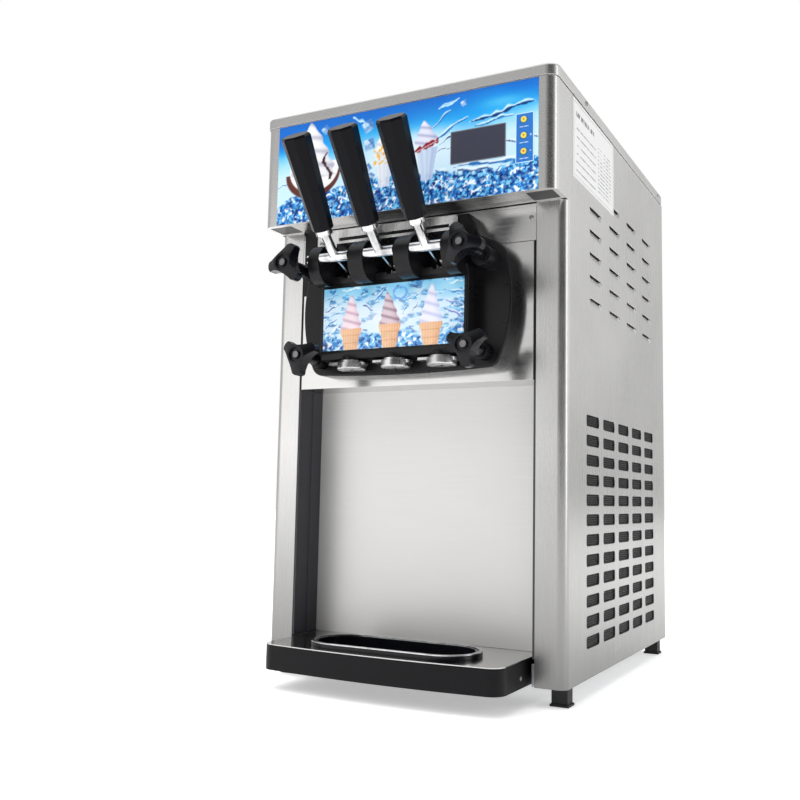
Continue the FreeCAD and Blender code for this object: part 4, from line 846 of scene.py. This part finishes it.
class SOFTSERVE_OT_controls(bpy.types.Operator):
    """Finish the display window, the button film, the buttons and the board"""

    bl_idname = "soft_serve.controls"
    bl_label = "Controls"

    def execute(self, context):
        low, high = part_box("display_window")
        f = Finish("display_glass", (0.07, 0.07, 0.11), 0.28, coat=0.1, coat_roughness=0.05, ior=1.25)
        x, y, z = f.axes()
        edge = 0.0013
        pane = f.window(x, low.x + edge, high.x - edge, z, low.z + edge, high.z - edge)
        haze = f.spread(f.noise((14.0, 14.0, 14.0), detail=2.0), 0.0, 1.0)
        glass = f.blend(haze, (0.038, 0.040, 0.064), (0.046, 0.049, 0.076))
        f.put("Base Color", f.blend(pane, (0.16, 0.19, 0.22), glass))
        f.relief(haze, 0.05, 0.0004)
        dress(f.material, "display_window")

        low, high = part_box("button_panel")
        f = Finish("button_film_print", (0.0, 0.12, 0.55), 0.30, coat=0.4)
        x, y, z = f.axes()
        edge = 0.0010
        inner = f.window(x, low.x + edge, high.x - edge, z, low.z + edge, high.z - edge)
        grain = f.noise((1500.0,) * 3, detail=1.0)
        blue = f.blend(f.spread(grain, 0.0, 1.0), (0.0, 0.13, 0.50), (0.0, 0.17, 0.60))
        colour = f.blend(inner, (0.55, 0.80, 0.95), blue)
        # Plain rules under each button and plus and minus marks beside them.
        rules = None
        for middle in (0.7875, 0.7648, 0.7422):
            rule = f.window(x, 0.1885, 0.2015, z, middle - 0.0007, middle + 0.0007)
            rules = rule if rules is None else f.math("MAXIMUM", rules, rule)
        for x0, x1, z0, z1 in ((0.2035, 0.2067, 0.7743, 0.7753), (0.2046, 0.2056, 0.7732, 0.7764),
                               (0.2035, 0.2067, 0.7517, 0.7527)):
            mark = f.window(x, x0, x1, z, z0, z1)
            rules = f.math("MAXIMUM", rules, mark)
        broken = f.math("GREATER_THAN", f.noise((900.0, 1.0, 1.0), detail=0.0), 0.45)
        ink = f.math("MULTIPLY", rules, f.math("MULTIPLY", broken, 0.7))
        f.put("Base Color", f.blend(ink, colour, (0.7, 0.85, 0.95)))
        f.relief(grain, 0.08, 0.0003)
        dress(f.material, "button_panel")

        for name, middle, heart in (
            ("button_mode", 0.7975, (0.30, 0.36, 0.02)),
            ("button_plus", 0.7748, (0.34, 0.30, 0.02)),
            ("button_minus", 0.7522, (0.62, 0.06, 0.01)),
        ):
            f = Finish(name + "_cap", (0.85, 0.62, 0.05), 0.30, coat=0.3)
            x, y, z = f.axes()
            dx, dz = f.math("SUBTRACT", x, 0.195), f.math("SUBTRACT", z, middle)
            away = f.math("SQRT", f.math("ADD", f.math("MULTIPLY", dx, dx), f.math("MULTIPLY", dz, dz)))
            worn = f.noise((700.0,) * 3, detail=3.0)
            ring = f.blend(f.spread(worn, 0.0, 1.0), (0.80, 0.56, 0.04), (0.90, 0.72, 0.10))
            core = f.blend(f.math("GREATER_THAN", away, 0.0015), heart, ring)
            f.put("Base Color", f.blend(f.math("GREATER_THAN", away, 0.0041), core, (0.30, 0.45, 0.10)))
            f.put("Roughness", f.spread(worn, 0.24, 0.40))
            f.relief(worn, 0.05, 0.0003, 0.0004)
            dress(f.material, name)
        dress(enamel("circuit_board", (0.02, 0.12, 0.05), 0.40, 0.0, 0.35), "control_board")
        return {"FINISHED"}


class SOFTSERVE_OT_side_label(bpy.types.Operator):
    """Finish the plain label on the right-hand side sheet"""

    bl_idname = "soft_serve.side_label"
    bl_label = "Side label"

    def execute(self, context):
        low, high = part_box("side_label")
        f = Finish("label_paper", (0.86, 0.86, 0.86), 0.42, coat=0.2)
        x, y, z = f.axes()
        inside = f.window(y, low.y + 0.006, high.y - 0.006, z, low.z + 0.005, high.z - 0.005)
        outside = f.window(y, low.y + 0.0045, high.y - 0.0045, z, low.z + 0.0035, high.z - 0.0035)
        border = f.math("SUBTRACT", outside, inside)
        ink = f.math("MULTIPLY", border, 0.35)
        split = low.y + 0.125
        blocks = (
            (low.y + 0.014, split - 0.014, low.z + 0.012, high.z - 0.034, 0.0125, 0.0018),
            (split, high.y - 0.016, low.z + 0.014, high.z - 0.032, 0.0062, 0.0014),
            (low.y + 0.014, split - 0.022, high.z - 0.024, high.z - 0.010, 0.0500, 0.0070),
        )
        dashes = f.math("GREATER_THAN", f.noise((1.0, 150.0, 20.0), detail=1.0), 0.43)
        for y0, y1, z0, z1, pitch, thick in blocks:
            row = f.math("LESS_THAN", f.math("MODULO", f.math("SUBTRACT", z, z0), pitch), thick)
            cover = f.math("MULTIPLY", f.window(y, y0, y1, z, z0, z1), row)
            cover = f.math("MULTIPLY", f.math("MULTIPLY", cover, dashes), 0.90)
            ink = f.math("MAXIMUM", ink, cover)
        fibre = f.noise((300.0,) * 3, detail=3.0)
        paper = f.blend(f.spread(fibre, 0.0, 1.0), (0.70, 0.70, 0.70), (0.78, 0.78, 0.78))
        f.put("Base Color", f.blend(ink, paper, (0.08, 0.08, 0.09)))
        f.relief(fibre, 0.06, 0.0003)
        dress(f.material, "side_label")
        return {"FINISHED"}


class SOFTSERVE_OT_screws(bpy.types.Operator):
    """Set the visible cross-head screws with a geometry tree"""

    bl_idname = "soft_serve.screws"
    bl_label = "Screws"

    def execute(self, context):
        places = []
        for side in (-1, 1):
            places += [(at(side * 242.0, y, 865.0), (side, 0, 0), 1.0) for y in (86.0, 557.0)]
            places.append((at(13.25 + side * 175.25, 0.0, 674.0), (0, -1, 0), 0.9))
            places.append((at(side * 185.0, -22.0, 42.0), (side, 0, 0), 0.8))
            places += [(at(side * 214.0, 593.4, z), (0, 1, 0), 0.95) for z in (60.0, 330.0, 600.0, 830.0)]
        places.append((at(5.5, -40.0, 695.9), (0, 0, -1), 1.1))
        base = bpy.data.meshes.new("screw_places")
        base.from_pydata([p for p, n, s in places], [], [])
        facing = base.attributes.new("facing", "FLOAT_VECTOR", "POINT")
        facing.data.foreach_set("vector", [c for p, n, s in places for c in n])
        share = base.attributes.new("share", "FLOAT", "POINT")
        share.data.foreach_set("value", [s for p, n, s in places])

        tree, source, sink = new_tree("Screw Set", [
            ("Head Shape", "NodeSocketObject"), ("Head Radius", "NodeSocketFloat"),
            ("Metal", "NodeSocketMaterial")])
        new, link = tree.nodes.new, tree.links.new
        shape = new("GeometryNodeObjectInfo")
        aim = new("FunctionNodeAlignRotationToVector")
        aim.axis = "Z"
        direction = new("GeometryNodeInputNamedAttribute")
        direction.data_type = "FLOAT_VECTOR"
        direction.inputs["Name"].default_value = "facing"
        part = new("GeometryNodeInputNamedAttribute")
        part.data_type = "FLOAT"
        part.inputs["Name"].default_value = "share"
        size = new("ShaderNodeMath")
        size.operation = "MULTIPLY"
        place = new("GeometryNodeInstanceOnPoints")
        real = new("GeometryNodeRealizeInstances")
        paint = new("GeometryNodeSetMaterial")
        link(source.outputs["Head Shape"], shape.inputs["Object"])
        link(direction.outputs["Attribute"], aim.inputs["Vector"])
        link(part.outputs["Attribute"], size.inputs[0])
        link(source.outputs["Head Radius"], size.inputs[1])
        link(source.outputs["Geometry"], place.inputs["Points"])
        link(shape.outputs["Geometry"], place.inputs["Instance"])
        link(aim.outputs[0], place.inputs["Rotation"])
        link(size.outputs[0], place.inputs["Scale"])
        link(place.outputs[0], real.inputs[0])
        link(real.outputs[0], paint.inputs["Geometry"])
        link(source.outputs["Metal"], paint.inputs["Material"])
        link(paint.outputs[0], sink.inputs[0])

        metal = bright_metal("screw_zinc", (0.50, 0.50, 0.50), 0.28, "Z", 0.10)
        pattern = screw_head()
        radius = context.scene.soft_serve_hardware.screw_radius
        screws = grown("case_screws", tree, base, {
            "Head Shape": pattern, "Head Radius": radius, "Metal": metal})
        bpy.data.objects.remove(pattern)
        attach(screws, "cabinet")
        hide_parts("panel_screws")
        return {"FINISHED"}


class SOFTSERVE_OT_grille_mesh(bpy.types.Operator):
    """Weave the wire mesh behind both side grilles with a geometry tree"""

    bl_idname = "soft_serve.grille_mesh"
    bl_label = "Grille mesh"

    def execute(self, context):
        hardware = context.scene.soft_serve_hardware
        low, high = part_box("side_filters")
        tree, source, sink = new_tree("Wire Mesh", [
            ("Depth", "NodeSocketFloat"), ("Height", "NodeSocketFloat"), ("Pitch", "NodeSocketFloat"),
            ("Wire", "NodeSocketFloat"), ("Corner", "NodeSocketVector"), ("Span", "NodeSocketFloat"),
            ("Metal", "NodeSocketMaterial")])
        new, link = tree.nodes.new, tree.links.new

        def number(operation, a, b):
            made = new("ShaderNodeMath")
            made.operation = operation
            for socket, value in zip(made.inputs, (a, b)):
                if isinstance(value, bpy.types.NodeSocket):
                    link(value, socket)
                else:
                    socket.default_value = value
            return made.outputs[0]

        def vector(x, y, z):
            made = new("ShaderNodeCombineXYZ")
            for socket, value in zip(made.inputs, (x, y, z)):
                if isinstance(value, bpy.types.NodeSocket):
                    link(value, socket)
                else:
                    socket.default_value = value
            return made.outputs[0]

        depth, height = source.outputs["Depth"], source.outputs["Height"]
        pitch, wire = source.outputs["Pitch"], source.outputs["Wire"]
        joined = new("GeometryNodeJoinGeometry")
        half_y, half_z = number("MULTIPLY", depth, 0.5), number("MULTIPLY", height, 0.5)
        for length, step, start, bar in (
            (depth, vector(0.0, pitch, 0.0), vector(0.0, 0.0, half_z), vector(wire, wire, height)),
            (height, vector(0.0, 0.0, pitch), vector(0.0, half_y, 0.0), vector(wire, depth, wire)),
        ):
            row = new("GeometryNodeMeshLine")
            cube = new("GeometryNodeMeshCube")
            place = new("GeometryNodeInstanceOnPoints")
            link(number("DIVIDE", length, pitch), row.inputs["Count"])
            link(start, row.inputs["Start Location"])
            link(step, row.inputs["Offset"])
            link(bar, cube.inputs["Size"])
            link(row.outputs[0], place.inputs["Points"])
            link(cube.outputs[0], place.inputs["Instance"])
            link(place.outputs[0], joined.inputs[0])
        near = new("GeometryNodeTransform")
        link(joined.outputs[0], near.inputs["Geometry"])
        link(source.outputs["Corner"], near.inputs["Translation"])
        far = new("GeometryNodeTransform")
        link(near.outputs[0], far.inputs["Geometry"])
        link(vector(number("MULTIPLY", source.outputs["Span"], -1.0), 0.0, 0.0), far.inputs["Translation"])
        both = new("GeometryNodeJoinGeometry")
        link(near.outputs[0], both.inputs[0])
        link(far.outputs[0], both.inputs[0])
        real = new("GeometryNodeRealizeInstances")
        paint = new("GeometryNodeSetMaterial")
        link(both.outputs[0], real.inputs[0])
        link(real.outputs[0], paint.inputs["Geometry"])
        link(source.outputs["Metal"], paint.inputs["Material"])
        link(paint.outputs[0], sink.inputs[0])

        metal = enamel("mesh_wire", (0.030, 0.030, 0.032), 0.45, 0.6)
        inset = 0.5 * MM
        x = high.x - inset
        mesh = grown("grille_mesh", tree, bpy.data.meshes.new("grille_seed"), {
            "Depth": high.y - low.y, "Height": high.z - low.z, "Pitch": hardware.wire_pitch,
            "Wire": hardware.wire_width, "Corner": (x, low.y, low.z), "Span": 2.0 * x, "Metal": metal})
        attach(mesh, "cabinet")
        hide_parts("side_filters")
        return {"FINISHED"}


def soft_box(name, place, aim, width, height, power, colour=(1.0, 1.0, 1.0)):
    """A rectangular area light aimed at a point."""
    light = bpy.data.lights.new(name, "AREA")
    light.shape = "RECTANGLE"
    light.size = width
    light.size_y = height
    light.energy = power
    light.color = colour
    lamp = bpy.data.objects.new(name, light)
    direction = Vector(aim) - Vector(place)
    lamp.matrix_world = Matrix.Translation(place) @ direction.to_track_quat("-Z", "Y").to_matrix().to_4x4()
    lamp.visible_camera = False
    bpy.context.scene.collection.objects.link(lamp)
    return lamp


class SOFTSERVE_OT_studio(bpy.types.Operator):
    """Build the pale floor, the soft lights and the camera"""

    bl_idname = "soft_serve.studio"
    bl_label = "Studio"

    def execute(self, context):
        scene = context.scene
        studio = scene.soft_serve_studio
        floor_mesh = bpy.data.meshes.new("studio_floor")
        half, rings = 14.0, 8
        marks = [half * (2.0 * k / rings - 1.0) for k in range(rings + 1)]
        points = [(x, y, 0.0) for y in marks for x in marks]
        across = rings + 1
        faces = [(j * across + i, j * across + i + 1, (j + 1) * across + i + 1, (j + 1) * across + i)
                 for j in range(rings) for i in range(rings)]
        floor_mesh.from_pydata(points, [], faces)
        f = Finish("studio_floor_paint", tuple(studio.floor_colour), 0.75)
        patch = f.noise((2.0, 2.0, 2.0), detail=2.0)
        f.put("Roughness", f.spread(patch, 0.70, 0.80))
        # The floor is a light table, which keeps the shadow under the machine thin.
        f.shader.inputs["Emission Color"].default_value = (1.0, 1.0, 1.0, 1.0)
        f.shader.inputs["Emission Strength"].default_value = studio.floor_glow
        floor_mesh.materials.append(f.material)
        floor = bpy.data.objects.new("studio_floor", floor_mesh)
        scene.collection.objects.link(floor)

        world = bpy.data.worlds.new("studio_room")
        world.use_nodes = True
        tree = world.node_tree
        room = next(n for n in tree.nodes if n.type == "BACKGROUND")
        room.inputs["Color"].default_value = (1.0, 1.0, 1.0, 1.0)
        # The room is darker on its front right wall, which gives rounded steel its dark bands.
        heading = tree.nodes.new("ShaderNodeTexCoord")
        toward = tree.nodes.new("ShaderNodeVectorMath")
        toward.operation = "DOT_PRODUCT"
        toward.inputs[1].default_value = (0.60, -0.80, 0.0)
        wall = tree.nodes.new("ShaderNodeMapRange")
        wall.interpolation_type = "SMOOTHSTEP"
        wall.inputs["From Min"].default_value = 0.55
        wall.inputs["From Max"].default_value = 0.92
        wall.inputs["To Min"].default_value = studio.room_light
        wall.inputs["To Max"].default_value = studio.dark_wall
        tree.links.new(heading.outputs["Generated"], toward.inputs[0])
        tree.links.new(toward.outputs["Value"], wall.inputs["Value"])
        tree.links.new(wall.outputs["Result"], room.inputs["Strength"])
        backdrop = tree.nodes.new("ShaderNodeBackground")
        backdrop.inputs["Color"].default_value = (1.0, 1.0, 1.0, 1.0)
        backdrop.inputs["Strength"].default_value = 1.0
        path = tree.nodes.new("ShaderNodeLightPath")
        choose = tree.nodes.new("ShaderNodeMixShader")
        output = next(n for n in tree.nodes if n.type == "OUTPUT_WORLD")
        tree.links.new(path.outputs["Is Camera Ray"], choose.inputs["Fac"])
        tree.links.new(room.outputs[0], choose.inputs[1])
        tree.links.new(backdrop.outputs[0], choose.inputs[2])
        tree.links.new(choose.outputs[0], output.inputs["Surface"])
        scene.world = world

        middle = (0.0, 0.0, 0.45)
        soft_box("key_box", (-2.25, -3.05, 0.80), middle, 2.6, 1.5, studio.key_power)
        soft_box("side_box", (3.0, 0.3, 1.2), middle, 0.9, 2.4, studio.side_power)
        soft_box("back_right_box", (2.4, 2.4, 1.6), middle, 2.6, 1.8, studio.side_power * 0.7)
        soft_box("back_left_box", (-2.4, 2.4, 1.4), middle, 2.0, 2.0, studio.side_power * 0.35)
        soft_box("top_box", (0.0, -0.2, 3.0), middle, 3.4, 3.4, studio.top_power)
        sky = bpy.data.lights.new("sky_light", "SUN")
        sky.energy = studio.sun_strength
        sky.angle = math.radians(70.0)
        lamp = bpy.data.objects.new("sky_light", sky)
        lamp.matrix_world = Vector((0.45, 0.62, -1.15)).to_track_quat("-Z", "Y").to_matrix().to_4x4()
        lamp.visible_glossy = False
        scene.collection.objects.link(lamp)

        camera = bpy.data.cameras.new("studio_camera")
        camera.lens = studio.lens
        camera.sensor_width = 36.0
        camera.clip_start = 0.05
        camera.clip_end = 60.0
        yaw, pitch, roll = studio.camera_yaw, studio.camera_pitch, studio.camera_roll
        ahead = Vector((math.sin(yaw) * math.cos(pitch), math.cos(yaw) * math.cos(pitch), math.sin(pitch)))
        right = Vector((math.cos(yaw), -math.sin(yaw), 0.0))
        up = right.cross(ahead)
        side = right * math.cos(roll) + up * math.sin(roll)
        top = up * math.cos(roll) - right * math.sin(roll)
        turn = Matrix((side, top, -ahead)).transposed().to_4x4()
        eye = bpy.data.objects.new("studio_camera", camera)
        eye.matrix_world = Matrix.Translation(Vector(studio.camera_place)) @ turn
        scene.collection.objects.link(eye)
        scene.camera = eye
        scene.view_settings.view_transform = "Standard"
        return {"FINISHED"}


# ---------------------------------------------------------------- panel and registration


STEPS = (SOFTSERVE_OT_steelwork, SOFTSERVE_OT_mouldings, SOFTSERVE_OT_header_film, SOFTSERVE_OT_head_film,
         SOFTSERVE_OT_controls, SOFTSERVE_OT_side_label, SOFTSERVE_OT_screws, SOFTSERVE_OT_grille_mesh,
         SOFTSERVE_OT_studio)


class SOFTSERVE_PT_sidebar(bpy.types.Panel):
    """Lists the machine's pieces and their settings"""

    bl_idname = "SOFTSERVE_PT_sidebar"
    bl_label = "Soft Serve Machine"
    bl_space_type = "VIEW_3D"
    bl_region_type = "UI"
    bl_category = "Soft Serve"

    def draw(self, context):
        for step in STEPS:
            self.layout.operator(step.bl_idname)
        for name, group in SETTINGS.items():
            box = self.layout.box()
            for field in group.__annotations__:
                box.prop(getattr(context.scene, name), field)


SETTINGS = {
    "soft_serve_steel": SteelSettings,
    "soft_serve_moulding": MouldingSettings,
    "soft_serve_film": FilmSettings,
    "soft_serve_hardware": HardwareSettings,
    "soft_serve_studio": StudioSettings,
}
CLASSES = (*SETTINGS.values(), *STEPS, SOFTSERVE_PT_sidebar)


def register():
    for cls in CLASSES:
        bpy.utils.register_class(cls)
    for name, group in SETTINGS.items():
        setattr(bpy.types.Scene, name, bpy.props.PointerProperty(type=group))


def unregister():
    for name in SETTINGS:
        delattr(bpy.types.Scene, name)
    for cls in reversed(CLASSES):
        bpy.utils.unregister_class(cls)


def main():
    register()
    for step in STEPS:
        group, call = step.bl_idname.split(".")
        getattr(getattr(bpy.ops, group), call)()


if __name__ == "__main__":
    main()
